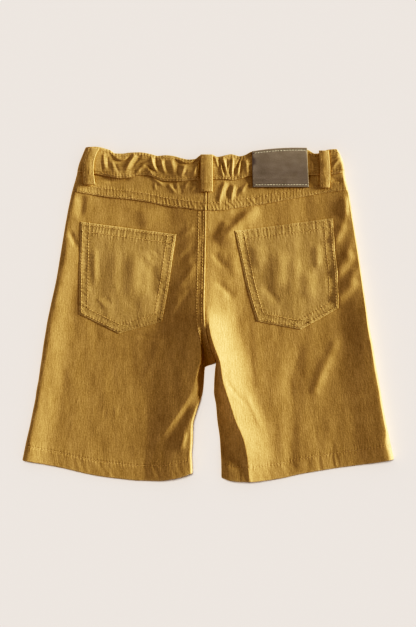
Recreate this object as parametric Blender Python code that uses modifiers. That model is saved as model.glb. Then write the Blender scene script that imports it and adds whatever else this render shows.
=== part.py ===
"""Child's denim shorts lying flat on a table, back side up.

Sizes are in millimetres until the last step. +Y runs to the waist, +X to the
right leg as seen from above, and Z is the height over the table. Each upper
piece is an open surface on a grid that Solidify gives its wall, downwards.
"""

import bmesh
import bpy
import numpy as np

MM = 0.001

# The middle of the outline, which becomes the origin
MIDDLE = (-0.37, -0.25)

# Cloth and seams
CLOTH = 1.2
GAP = 0.3
LAID_ON = 0.5
HEM_DEPTH = 15.0
HEM_WALL = 2.2
BAND_WALL = 1.6
BAND_FRONT = 1.8
FRONT_SEAM = 138.0
LOOP_WALL = 1.9
PATCH_WALL = 1.3

# The upper layer's lie: flat height, rolled sides, raised laps
FLAT = 5.3
RIDGE = {"left": 8.2, "right": 10.0}
RIDGE_WAIST = 6.8
CREST = 0.8
INNER_CREST = {"left": 0.8, "right": 1.4}
FOOT = 0.8
YOKE_LAP = 0.4
BAND_LAP = 1.1
BAND_BULGE = 1.2
BAND_END = 7.0

# Rows down each side of the back: y, side edge x, x where the rise begins,
# then x and height of the inner leg's fold, its foot, the next fold and the
# inner edge.
LEFT = [
    (170, -121.5, -58.5, -10.5, 6.3, -7.5, 6.3, -4.5, 6.3, -2.0, 6.3),
    (150, -129.5, -58.5, -10.5, 6.4, -7.5, 6.4, -4.5, 6.4, -2.0, 6.4),
    (139, -132.0, -58.5, -10.5, 6.6, -7.5, 6.7, -4.5, 6.7, -1.9, 6.7),
    (119, -137.5, -53.5, -10.5, 6.8, -7.5, 6.9, -4.5, 7.0, -1.9, 7.0),
    (94, -142.5, -46.5, -10.5, 7.1, -7.5, 7.2, -4.5, 7.3, -2.1, 7.3),
    (64, -147.5, -46.5, -11.5, 7.7, -8.5, 7.8, -5.5, 7.8, -2.7, 7.8),
    (34, -152.5, -48.5, -12.5, 8.6, -9.5, 8.7, -6.0, 8.8, -3.3, 8.8),
    (9, -158.0, -50.5, -13.5, 11.2, -10.0, 11.6, -6.5, 12.0, -3.9, 12.2),
    (-8, -161.5, -54.5, -11.0, 14.4, -8.5, 14.9, -6.0, 15.4, -3.5, 15.8),
    (-19, -163.3, -60.5, -9.0, 14.8, -6.2, 13.6, -4.4, 13.8, -1.7, 14.6),
    (-31, -165.3, -70.5, -8.0, 14.2, -5.2, 11.2, -2.8, 10.8, 1.0, 11.8),
    (-42, -166.8, -72.5, -7.6, 13.8, -4.6, 8.2, -2.0, 7.0, 5.0, 7.6),
    (-48, -167.7, -73.5, -8.0, 13.6, -5.2, 7.0, -2.5, 4.4, 7.5, 4.2),
    (-53, -168.5, -73.5, -10.0, 13.4, -7.4, 8.0, -5.6, 3.8, -3.8, 2.8),
    (-66, -170.3, -71.5, -13.5, 12.8, -10.0, 10.0, -7.6, 6.0, -4.7, 2.8),
    (-76, -172.2, -69.5, -16.0, 12.6, -11.5, 11.6, -8.4, 6.5, -5.5, 2.8),
    (-84, -173.3, -66.5, -20.5, 12.2, -15.0, 11.2, -9.8, 9.4, -7.3, 2.8),
    (-96, -175.7, -65.5, -28.2, 11.4, -22.0, 10.5, -13.6, 12.0, -11.3, 2.8),
    (-111, -178.7, -64.5, -38.5, 10.0, -31.5, 9.4, -19.4, 12.2, -15.2, 2.8),
    (-126, -182.2, -63.5, -48.0, 7.8, -41.5, 8.2, -23.6, 11.8, -15.5, 3.0),
    (-141, -185.2, -63.5, -54.0, 6.5, -46.5, 7.5, -22.4, 10.8, -16.6, 4.0),
    (-148, -186.7, -64.5, -55.0, 6.4, -47.0, 7.4, -22.0, 10.4, -16.2, 5.0),
    (-171, -191.0, -65.5, -55.0, 6.3, -48.0, 7.2, -22.0, 9.8, -15.8, 5.0),
]
RIGHT = [
    (170, 129.0, 51.5, 5.5, 6.3, 3.0, 6.3, 0.5, 6.3, -2.0, 6.3),
    (150, 135.0, 51.5, 5.5, 6.4, 3.0, 6.4, 0.5, 6.4, -2.0, 6.4),
    (139, 136.5, 51.5, 5.5, 6.6, 3.0, 6.7, 0.5, 6.7, -1.9, 6.7),
    (119, 140.9, 51.5, 5.5, 6.7, 3.0, 6.8, 0.5, 6.9, -1.9, 7.0),
    (94, 144.7, 51.5, 5.5, 6.9, 3.0, 7.0, 0.5, 7.2, -2.1, 7.3),
    (64, 149.5, 44.5, 6.5, 7.2, 3.5, 7.4, 0.5, 7.6, -2.7, 7.8),
    (34, 153.9, 42.5, 4.5, 8.0, 2.2, 8.3, 0.0, 8.5, -3.3, 8.8),
    (9, 157.5, 38.0, 2.5, 11.6, 0.5, 11.9, -1.6, 12.1, -3.9, 12.2),
    (-8, 160.0, 33.0, 0.5, 15.9, -1.0, 16.0, -2.2, 16.0, -3.5, 15.8),
    (-19, 162.1, 35.0, 1.9, 16.8, 0.8, 16.2, -0.4, 15.2, -1.7, 14.6),
    (-31, 164.5, 39.0, 5.3, 17.3, 3.8, 16.0, 2.4, 13.4, 1.0, 11.8),
    (-42, 166.2, 42.0, 9.4, 17.4, 8.0, 14.6, 6.5, 9.8, 5.0, 7.6),
    (-48, 167.2, 44.0, 11.4, 17.4, 10.1, 13.6, 8.8, 7.0, 7.5, 4.2),
    (-53, 167.9, 45.0, 12.2, 17.2, 10.4, 12.6, 8.5, 5.4, 6.8, 2.8),
    (-66, 170.3, 47.0, 14.1, 16.8, 11.4, 11.4, 8.5, 4.6, 5.8, 2.8),
    (-78, 172.5, 50.0, 17.7, 16.2, 13.8, 10.6, 9.6, 4.4, 5.5, 2.8),
    (-91, 174.5, 54.0, 22.0, 15.6, 17.2, 10.0, 12.0, 4.4, 7.5, 2.8),
    (-106, 177.2, 60.0, 26.8, 14.8, 21.2, 9.6, 14.6, 4.4, 8.8, 2.8),
    (-126, 181.5, 65.0, 35.3, 13.2, 28.0, 9.0, 19.4, 4.8, 11.5, 2.9),
    (-141, 184.7, 68.0, 38.5, 11.9, 31.0, 8.6, 22.0, 5.8, 12.3, 4.0),
    (-148, 186.2, 69.0, 39.5, 10.6, 32.0, 8.0, 23.0, 6.0, 12.6, 5.0),
    (-171, 191.0, 71.0, 41.0, 9.6, 33.5, 7.6, 24.5, 6.0, 13.0, 5.0),
]

# Lines across the whole back, as x, y from left to right
BAND_TOP = [
    (-131, 148.0), (-126.5, 158.5), (-122.5, 166.8), (-112.5, 167.2),
    (-98.5, 164.0), (-93.5, 160.8), (-86.5, 160.5), (-78.5, 161.5),
    (-68.5, 161.7), (-58.5, 160.2), (-50.5, 158.2), (-42.5, 158.8),
    (-34.5, 158.0), (-26.5, 155.7), (-19.5, 154.4), (-13.5, 154.9),
    (-8.0, 158.6), (3.5, 159.3), (9.0, 157.2), (17.5, 158.9),
    (22.5, 159.8), (31.5, 157.8), (36.5, 159.0), (43.5, 162.4),
    (71.5, 164.3), (98.5, 164.3), (106.5, 160.4), (110.5, 160.8),
    (119.5, 164.3), (127.5, 164.8), (133.0, 156.5), (136.0, 146.0),
]
BAND_LOW = [
    (-132, 142.0), (-112.5, 139.5), (-98.5, 137.0), (-88.5, 135.6),
    (-80.5, 136.0), (-71.5, 138.3), (-60.5, 138.6), (-50.5, 134.4),
    (-42.5, 132.6), (-28.5, 132.5), (-18.5, 133.4), (-2.5, 134.0),
    (16.5, 134.5), (23.5, 133.8), (31.5, 134.8), (41.5, 137.8),
    (71.5, 138.5), (100.5, 138.5), (121.5, 139.0), (137, 142.0),
]
YOKE_SEAM = [
    (-138, 123.3), (-124.5, 120.5), (-98.5, 116.5), (-78.5, 114.5),
    (-58.5, 111.5), (-43.5, 108.0), (-28.5, 106.0), (-2.0, 103.2),
    (11.5, 103.2), (26.5, 105.5), (56.5, 110.0), (86.5, 115.5),
    (116.5, 121.0), (141, 124.2),
]
HEM = [
    (-191, -145.3), (-148.5, -153.5), (-112.5, -161.5), (-88.5, -164.7),
    (-68.5, -166.5), (-50.5, -166.7), (-36.5, -165.0), (-24.5, -162.0),
    (-15.5, -159.0), (12.5, -163.5), (19.5, -166.0), (27.5, -167.3),
    (43.5, -167.7), (55.5, -166.7), (73.5, -164.0), (91.5, -160.0),
    (127.5, -154.0), (169.5, -148.0), (191.5, -144.0),
]

# Folds: x, y of both ends, half width, height (below 0 for a trough)
BAND_FOLDS = [
    (-106.5, 153, -104.9, 142, 1.9, -1.2),
    (-101.8, 158, -98.5, 140, 2.2, -1.6),
    (-93.5, 150, -90.5, 140, 2.0, -1.3),
    (-70.5, 156, -82.5, 143, 3.6, 1.8),
    (-60.5, 151, -76.0, 147, 2.2, -1.3),
    (-55.5, 156, -49.5, 138, 3.0, 1.9),
    (-50.0, 150, -45.5, 137, 1.8, -1.2),
    (-45.8, 154, -40.3, 138, 2.8, 1.5),
    (-41.5, 150, -37.5, 137, 1.7, -1.1),
    (-36.0, 153, -32.0, 137, 2.6, 1.4),
    (-30.0, 148, -29.5, 137, 1.8, -1.4),
    (-21.5, 148, -26.0, 137, 2.8, 1.4),
    (-17.0, 147, -19.5, 137, 1.8, -1.0),
    (-10.5, 150, -14.0, 138, 2.6, 1.2),
    (8.0, 154, 11.0, 146, 2.2, 1.1),
    (12.5, 147, 16.0, 138, 2.4, 1.3),
    (15.5, 154, 18.5, 145, 2.2, 1.0),
    (20.5, 152, 20.0, 138, 2.0, -1.2),
    (26.0, 154, 25.0, 138, 2.6, 1.5),
    (33.0, 154, 30.0, 139, 2.4, 1.3),
    (103.5, 160, 111.0, 134, 2.0, -1.4),
    (125.5, 152, 131.5, 156, 1.8, -1.3),
    (123.5, 135, 132.0, 142, 1.8, -1.0),
]
STRIP_DIPS = [
    (-99.5, 161, -94.5, 156, 2.2, -2.2),
    (-94.5, 156, -86.0, 154, 2.2, -2.2),
    (-86.0, 154, -78.5, 156, 2.2, -2.0),
    (-36.5, 155, -27.0, 151, 2.0, -1.6),
    (-27.0, 151, -13.5, 151, 2.2, -1.8),
    (38.0, 156, 42.5, 152, 2.6, -1.5),
    (102.0, 161, 109.0, 156, 2.0, -1.4),
]
PANEL_FOLDS = [
    (45.5, 102, 9.5, 77, 5.0, 0.8),
    (-30.5, 74, -48.5, -16, 7.0, -0.6),
    (88.5, -38, 82.5, -150, 8.0, -0.8),
    (126.0, -30, 106.5, -76, 4.5, 0.8),
    (137.5, 98, 125.5, 74, 4.0, 1.1),
    (144.5, 73, 127.5, 42, 4.2, 1.5),
    (150.5, 46, 128.0, 17, 4.5, 1.5),
]

# Rows down a pocket: left x, y, right x, y, and how far its middle hangs
POCKET_LEFT = [
    (-128.0, 92.4, -31.9, 79.6, 0.0),
    (-129.0, 62.0, -35.6, 57.0, 3.5),
    (-129.6, 30.0, -40.2, 26.0, 9.0),
    (-129.7, 0.0, -46.6, -8.0, 15.9),
]
POCKET_RIGHT = [
    (26.0, 83.0, 124.3, 96.0, 0.0),
    (31.4, 58.0, 126.2, 67.0, 3.0),
    (38.4, 26.0, 129.2, 37.0, 8.0),
    (48.0, -7.4, 130.1, 5.8, 15.5),
]
POCKET_TIP = {"left": 0.48, "right": 0.54}

# Rows down a loop or the patch: y, middle x, half width
LOOPS = {
    "loop_left": [
        (165.5, -114.6, 6.0), (159, -117.6, 5.7), (152, -119.6, 5.6),
        (144, -120.3, 5.6), (136, -119.6, 5.7), (129, -118.8, 5.9),
    ],
    "loop_centre": [
        (159.3, -1.9, 6.1), (150, -1.9, 6.1), (140, -1.9, 6.1),
        (131, -1.9, 6.1), (122, -1.9, 6.1),
    ],
    "loop_right": [
        (163.2, 115.0, 5.0), (155, 115.6, 5.1), (146, 116.3, 5.2),
        (136, 116.4, 5.2), (126, 115.8, 5.1),
    ],
}
PATCH = [
    (164.6, 71.0, 27.5), (150, 71.3, 27.8), (138, 71.8, 28.0),
    (126.6, 72.3, 28.2),
]


def hermite(f, low, high, slope_low, slope_high):
    """The cubic from low to high as f runs 0 to 1, with these slopes at its ends."""
    g = 1 - f
    return (
        g * g * (1 + 2 * f) * low
        + f * f * (1 + 2 * g) * high
        + f * g * (g * slope_low - f * slope_high)
    )


def mild(a, b):
    """The slope at a knot between runs of slopes a and b: none at a peak or a dip."""
    same = a * b > 0
    return np.where(same, 2 * a * b / np.where(same, a + b, 1), 0)


def smooth_line(at, xs, ys):
    """A smooth line through the points (xs rising), which never overshoots them."""
    xs = np.asarray(xs, float)
    ys = np.asarray(ys, float)
    rise = np.diff(ys) / np.diff(xs)
    slope = np.concatenate([rise[:1], mild(rise[:-1], rise[1:]), rise[-1:]])
    at = np.clip(at, xs[0], xs[-1])
    k = np.clip(np.searchsorted(xs, at) - 1, 0, len(rise) - 1)
    run = xs[k + 1] - xs[k]
    f = (at - xs[k]) / run
    return hermite(f, ys[k], ys[k + 1], slope[k] * run, slope[k + 1] * run)


def line(table, x):
    """The y of a line across the back, at each x."""
    xs, ys = zip(*table)
    return smooth_line(x, xs, ys)


def ease(share):
    """0 to 1 with a soft start and end."""
    share = np.clip(share, 0, 1)
    return share * share * (3 - 2 * share)


def crest_in(side, y):
    """How far the ridge along a side lies from the edge: narrow at the right hip."""
    if side == "left":
        return np.full(np.shape(y), 5.5)
    return 2.8 + 4.2 * ease((-114 - y) / 18)


def flat_in(side, y):
    """How far in from a side the flat begins: the right leg rises sooner lower down."""
    if side == "left":
        return np.full(np.shape(y), 28.0)
    return 30 + 24 * ease((-20 - y) / 60)


def knots(side, y):
    """Places and heights of the knots across one side of the back, outer edge first."""
    table = LEFT if side == "left" else RIGHT
    turn = 1 if side == "left" else -1
    columns = np.array(table, float).T
    row = [smooth_line(-y, -columns[0], column) for column in columns[1:]]
    flat = np.full(np.shape(y), FLAT)
    ridge = RIDGE[side] + (RIDGE_WAIST - RIDGE[side]) * ease((y - 15) / 120)
    crest = row[0] + turn * crest_in(side, y)
    places = [row[0], crest, row[0] + turn * flat_in(side, y), row[1]]
    places = np.stack(places + row[2::2])
    return places, np.stack([ridge, ridge, flat, flat] + row[3::2])


def hem_rise(x, y):
    """How much thicker the front layer is at (x, y), where its hem is folded in."""
    return (HEM_WALL - CLOTH) * ease((HEM_DEPTH + 5 - (y - line(HEM, x))) / 4)


def side_height(side, x, y, under):
    """Height of the upper surface: knots joined by smooth cubics, and a rolled edge.

    The roll is a quarter of an ellipse from a foot just over the layer below,
    whose height is given as under. The panel's own side of both ridges stays
    steep up to the crest, by the share CREST of its mean slope.
    """
    turn = 1 if side == "left" else -1
    places, heights = knots(side, y)
    run = np.diff(places, axis=0) * turn
    steep = np.diff(heights, axis=0) / run
    slope = np.concatenate([steep[:1] * 0, mild(steep[:-1], steep[1:]), steep[:1] * 0])
    leave, reach = slope.copy(), slope.copy()
    leave[1] = CREST * steep[1]
    reach[4] = np.maximum(slope[4], INNER_CREST[side] * steep[3])
    foot = under + GAP + FOOT
    share = np.clip((x - places[0]) * turn / run[0], 0, 1)
    z = foot + (heights[1] - foot) * np.sqrt(1 - (1 - share) ** 2)
    for k in range(1, len(run)):
        f = (x - places[k]) * turn / run[k]
        span = hermite(
            np.clip(f, 0, 1),
            heights[k],
            heights[k + 1],
            leave[k] * run[k],
            reach[k + 1] * run[k],
        )
        z = np.where(f > 0, span, z)
    return z


def folds(table, x, y):
    """Soft ridges and troughs along straight lines, fading past their ends."""
    z = np.zeros(np.shape(x))
    for x1, y1, x2, y2, wide, high in table:
        dx, dy = x2 - x1, y2 - y1
        along = ((x - x1) * dx + (y - y1) * dy) / (dx * dx + dy * dy)
        along = np.clip(along, 0, 1)
        away = np.hypot(x - x1 - along * dx, y - y1 - along * dy)
        z = z + high * np.exp(-((away / wide) ** 2))
    return z


def seam_x(y):
    """The x of the centre back seam."""
    columns = np.array(LEFT, float).T
    return smooth_line(-y, -columns[0], columns[-2])


def lie(x, y, under):
    """Height of the upper layer at (x, y), on either side of the centre seam."""
    left = side_height("left", x, y, under)
    right = side_height("right", x, y, under)
    return np.where(x < seam_x(np.maximum(y, 0)), left, right)


def panel_height(side, x, y):
    """Upper surface of a back panel."""
    z = side_height(side, x, y, CLOTH + hem_rise(x, y))
    inside = ease((np.abs(x - knots(side, y)[0][0]) - 2) / 8)
    return z + folds(PANEL_FOLDS, x, y) * inside


def yoke_height(x, y):
    """Upper surface of the yokes."""
    return lie(x, y, CLOTH) + YOKE_LAP


def band_height(x, y):
    """Upper surface of the back waistband: a bulging band with its gathers."""
    low, top = line(BAND_LOW, x), line(BAND_TOP, x)
    share = np.clip((y - low) / np.maximum(top - low, 8), 0, 1)
    full = BAND_LAP + BAND_BULGE * np.sin(np.pi * share) ** 0.7
    full = full + folds(BAND_FOLDS, x, y) * ease(share / 0.15) * ease((1 - share) / 0.2)
    full = full + folds(STRIP_DIPS, x, y)
    ends = np.minimum(x - knots("left", y)[0][0], knots("right", y)[0][0] - x)
    return lie(x, y, BAND_FRONT) + full * ease(ends / BAND_END)


def cover_height(x, y):
    """Upper surface of band and yoke, with the step between them filled by a slope."""
    low = line(BAND_LOW, x)
    band = band_height(x, np.maximum(y, low + 0.1))
    yoke = yoke_height(x, np.minimum(y, low))
    return np.where(y > low, band, yoke + (band - yoke) * ease((y - low + 8) / 6))


def settle(side, u, v, top, bottom):
    """Places on a side of the back: u counts knots across, v is the share down.

    A point's x depends on its y and the other way round, so a few passes settle
    the two on each other.
    """
    y = line(top, u * 0) * (1 - v) + line(bottom, u * 0) * v
    for _ in range(8):
        places = knots(side, y)[0]
        k = np.clip(u.astype(int), 0, len(places) - 2)[None]
        low = np.take_along_axis(places, k, 0)[0]
        high = np.take_along_axis(places, k + 1, 0)[0]
        x = low + (high - low) * (u - k[0])
        y = line(top, x) * (1 - v) + line(bottom, x) * v
    return x, y


def across(side, spans):
    """Knot counts of the grid's columns: the rolled edge by equal angles, then spans."""
    roll = [1 - np.cos(np.radians(a)) for a in (0, 24, 46, 68)]
    u = [0.0] + roll
    for k, parts in enumerate(spans, start=1):
        u += [k + i / parts for i in range(parts)]
    u.append(len(spans) + 1.0)
    return np.array(u)


def shifted(table, by):
    """A line across the back, moved along y."""
    return [(x, y + by) for x, y in table]


def surface(name, x, y, z, wall, material, thick=None):
    """A named sheet: a grid moved onto the points, with Solidify for its wall.

    thick holds each point's share of the wall, where it isn't all 1.
    """
    rows, columns = x.shape
    if x[0, 0] > x[0, -1]:
        x, y, z = x[:, ::-1], y[:, ::-1], z[:, ::-1]
        thick = None if thick is None else thick[:, ::-1]
    if y[0, 0] > y[-1, 0]:
        x, y, z = x[::-1], y[::-1], z[::-1]
        thick = None if thick is None else thick[::-1]
    form = bmesh.new()
    bmesh.ops.create_grid(form, x_segments=columns - 1, y_segments=rows - 1, size=1)
    places = []
    for vert in form.verts:
        i = round((vert.co.x + 1) / 2 * (columns - 1))
        j = round((vert.co.y + 1) / 2 * (rows - 1))
        places.append((j, i))
        place = (x[j, i] - MIDDLE[0], y[j, i] - MIDDLE[1], z[j, i])
        vert.co = [MM * value for value in place]
    mesh = bpy.data.meshes.new(name)
    form.to_mesh(mesh)
    form.free()
    piece = bpy.data.objects.new(name, mesh)
    collection.objects.link(piece)
    mesh.materials.append(material)
    mesh.shade_smooth()
    solid = piece.modifiers.new("Wall", "SOLIDIFY")
    solid.thickness = wall * MM
    solid.offset = -1
    if thick is not None:
        group = piece.vertex_groups.new(name="wall")
        for index, place in enumerate(places):
            group.add([index], float(thick[place]), "REPLACE")
        solid.vertex_group = "wall"
        solid.thickness_vertex_group = 0.0
    return piece


def cloth_material(name, colour, roughness):
    """A matt Principled material."""
    material = bpy.data.materials.new(name)
    material.use_nodes = True
    shader = material.node_tree.nodes["Principled BSDF"]
    shader.inputs["Base Color"].default_value = (*colour, 1)
    shader.inputs["Roughness"].default_value = roughness
    shader.inputs["Metallic"].default_value = 0
    return material


def hem_share(x, y):
    """Share of the hem's wall that each point of a leg panel has."""
    inside = y - line(HEM, x) < HEM_DEPTH
    return np.where(inside, 1.0, CLOTH / HEM_WALL)


def make_back(side):
    """A back leg panel, from the yoke seam to its folded hem."""
    spans = [3, 5, 5, 4, 3, 3]
    rows = [0, 0.03, 0.07, 0.12, 0.17, 0.22, 0.27, 0.32, 0.365, 0.405, 0.44, 0.475]
    rows += [0.51, 0.54, 0.56, 0.577, 0.596, 0.62, 0.65, 0.685, 0.72, 0.755, 0.79]
    rows += [0.825, 0.86, 0.895, 0.925, 0.942, 0.95, 0.975, 1.0]
    u, v = np.meshgrid(across(side, spans), rows)
    x, y = settle(side, u, v, shifted(YOKE_SEAM, -GAP - 0.1), HEM)
    z = panel_height(side, x, y)
    z[:, 0] -= FOOT
    turn = 1 if side == "left" else -1
    x[:, -1] -= turn * GAP / 2
    colour = (0.36, 0.18, 0.05)
    material = cloth_material("denim_back_" + side, colour, 0.9)
    surface("back_" + side, x, y, z, HEM_WALL, material, hem_share(x, y))


def make_yoke(side):
    """A back yoke, between the waistband and the leg panel."""
    u, v = np.meshgrid(across(side, [6, 15, 14, 1, 1, 1]), np.linspace(0, 1, 6))
    x, y = settle(side, u, v, shifted(BAND_LOW, -GAP - 0.1), YOKE_SEAM)
    z = yoke_height(x, y)
    z[:, 0] -= FOOT
    turn = 1 if side == "left" else -1
    x[:, -1] -= turn * GAP / 2
    material = cloth_material("denim_yoke_" + side, (0.33, 0.17, 0.05), 0.9)
    surface("yoke_" + side, x, y, z, CLOTH, material)


def make_band():
    """The gathered back waistband."""
    ends = [1 - np.cos(np.radians(a)) for a in (0, 24, 46, 68)]
    ends = [0.0] + [0.03 * e for e in ends]
    middle = list(np.linspace(0.03, 0.97, 108))
    shares = np.array(ends + middle + [1 - e for e in reversed(ends)])
    s, t = np.meshgrid(shares, np.linspace(0, 1, 9))
    y = 165 - 28 * t
    for _ in range(8):
        x_left, x_right = knots("left", y)[0][0], knots("right", y)[0][0]
        x = x_left + (x_right - x_left) * s
        y = line(BAND_TOP, x) * (1 - t) + line(BAND_LOW, x) * t
    z = band_height(x, y)
    z[:, 0] -= FOOT
    z[:, -1] -= FOOT
    material = cloth_material("denim_waistband", (0.34, 0.17, 0.05), 0.9)
    surface("waistband_back", x, y, z, BAND_WALL, material)


def make_pocket(side, table):
    """A patch pocket, laid on the panel, with a pointed lower edge."""
    columns = np.array(table, float).T
    tip = POCKET_TIP[side]
    halves = np.concatenate([np.linspace(0, tip, 7), np.linspace(tip, 1, 7)[1:]])
    p, q = np.meshgrid(halves, np.linspace(0, 1, 13))
    down = np.linspace(0, 1, len(table))
    left_x, left_y, right_x, right_y, hang = [
        smooth_line(q, down, column) for column in columns
    ]
    tent = np.minimum(p / tip, (1 - p) / (1 - tip))
    x = left_x + (right_x - left_x) * p
    y = left_y + (right_y - left_y) * p - hang * tent
    z = panel_height(side, x, y) + LAID_ON + CLOTH
    material = cloth_material("denim_pocket_" + side, (0.38, 0.21, 0.07), 0.9)
    surface("pocket_" + side, x, y, z, CLOTH, material)


def make_strip(name, table, columns, rows, lift, wall, colour):
    """A loop or the patch: level across at each row, over what lies under it."""
    y_at, x_at, half = np.array(table, float).T
    across_x, y = np.meshgrid(
        np.linspace(-1, 1, columns), np.linspace(y_at[0], y_at[-1], rows)
    )
    middle = smooth_line(-y, -y_at, x_at)
    width = smooth_line(-y, -y_at, half)
    x = middle + width * across_x
    if name == "patch":
        under = cover_height(x, y)
    else:
        tries = [cover_height(middle + width * s, y) for s in np.linspace(-1, 1, 9)]
        under = np.max(tries, axis=0)
        for _ in range(2):
            above = np.concatenate([under[:1], under[:-1]])
            below = np.concatenate([under[1:], under[-1:]])
            under = np.maximum(under, (above + under + below) / 3)
    bow = 0.6 * (1 - across_x**2)
    z = under + lift + wall + (bow if name != "patch" else 0)
    surface(name, x, y, z, wall, cloth_material(name, *colour))


def make_front(side):
    """A front leg panel, flat on the table, hidden under the back."""
    u, v = np.meshgrid(np.linspace(0, 1, 8), np.linspace(0, 1, 27))
    turn = 1 if side == "left" else -1
    y = FRONT_SEAM - 300 * v
    hem = shifted(HEM, 0.4)
    for _ in range(8):
        places = knots(side, y)[0]
        outer, inner = places[0] + turn * 0.2, places[-1] - turn * 0.4
        x = outer + (inner - outer) * u
        y = (FRONT_SEAM - GAP) * (1 - v) + line(hem, x) * v
    material = cloth_material("denim_front_" + side, (0.36, 0.18, 0.05), 0.9)
    thick = hem_share(x, y)
    piece = surface("front_" + side, x, y, x * 0, HEM_WALL, material, thick)
    piece.modifiers["Wall"].offset = 1


def make_front_band():
    """The front part of the waistband, flat on the table under the back one."""
    s, t = np.meshgrid(np.linspace(0, 1, 34), np.linspace(0, 1, 3))
    y = 163 - 26 * t
    for _ in range(8):
        x_left, x_right = knots("left", y)[0][0], knots("right", y)[0][0]
        x = x_left + 0.2 + (x_right - x_left - 0.4) * s
        y = (line(BAND_TOP, x) - 1.5) * (1 - t) + FRONT_SEAM * t
    material = cloth_material("denim_waistband_front", (0.34, 0.17, 0.05), 0.9)
    piece = surface("waistband_front", x, y, x * 0, BAND_FRONT, material)
    piece.modifiers["Wall"].offset = 1


for old in list(bpy.data.objects):
    bpy.data.objects.remove(old, do_unlink=True)
collection = bpy.data.collections.new("denim_shorts")
bpy.context.scene.collection.children.link(collection)

make_front("left")
make_front("right")
make_front_band()
make_back("left")
make_back("right")
make_yoke("left")
make_yoke("right")
make_band()
make_pocket("left", POCKET_LEFT)
make_pocket("right", POCKET_RIGHT)
DENIM = ((0.34, 0.17, 0.05), 0.9)
for loop_name, loop_rows in LOOPS.items():
    make_strip(loop_name, loop_rows, 4, 14, GAP, LOOP_WALL, DENIM)
make_strip("patch", PATCH, 14, 12, GAP + 0.1, PATCH_WALL, ((0.16, 0.11, 0.07), 0.85))
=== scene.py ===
"""Looks of a child's denim shorts lying flat on a table, back side up.

Places are worked out in millimetres, +Y to the waist, +X to the right leg as
seen from above and Z up off the table, and become metres in the last step.
"""

import math

import bpy
import numpy as np
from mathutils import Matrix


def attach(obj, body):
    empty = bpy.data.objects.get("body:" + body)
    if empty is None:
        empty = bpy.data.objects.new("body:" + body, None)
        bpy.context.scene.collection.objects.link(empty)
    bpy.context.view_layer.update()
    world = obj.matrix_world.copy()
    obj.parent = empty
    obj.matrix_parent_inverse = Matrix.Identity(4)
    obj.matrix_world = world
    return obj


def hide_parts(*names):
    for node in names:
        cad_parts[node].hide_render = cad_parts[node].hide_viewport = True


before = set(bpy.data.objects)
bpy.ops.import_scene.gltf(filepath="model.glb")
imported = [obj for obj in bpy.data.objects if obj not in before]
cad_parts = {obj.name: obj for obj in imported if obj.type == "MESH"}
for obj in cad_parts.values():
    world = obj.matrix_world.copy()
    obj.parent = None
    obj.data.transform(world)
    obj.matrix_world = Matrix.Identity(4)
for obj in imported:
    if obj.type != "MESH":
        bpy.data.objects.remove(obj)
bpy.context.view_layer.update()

MM = 0.001

# The middle of the outline, which is the origin
MIDDLE = (-0.37, -0.25)

# Cloth and seams
CLOTH = 1.2
GAP = 0.3
HEM_DEPTH = 15.0
HEM_WALL = 2.2
BAND_WALL = 1.6
BAND_FRONT = 1.8
FRONT_SEAM = 138.0

# The upper layer's lie: flat height, rolled sides, which way is in from a side,
# raised laps
FLAT = 5.3
RIDGE = {"left": 8.2, "right": 10.0}
RIDGE_WAIST = 6.8
CREST = 0.8
INNER_CREST = {"left": 0.8, "right": 1.4}
TURN = {"left": 1, "right": -1}
FOOT = 0.8
YOKE_LAP = 0.4
BAND_LAP = 1.1
BAND_BULGE = 1.2
BAND_END = 7.0

# Passes that settle a point's x and y on each other
PASSES = 10

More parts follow.
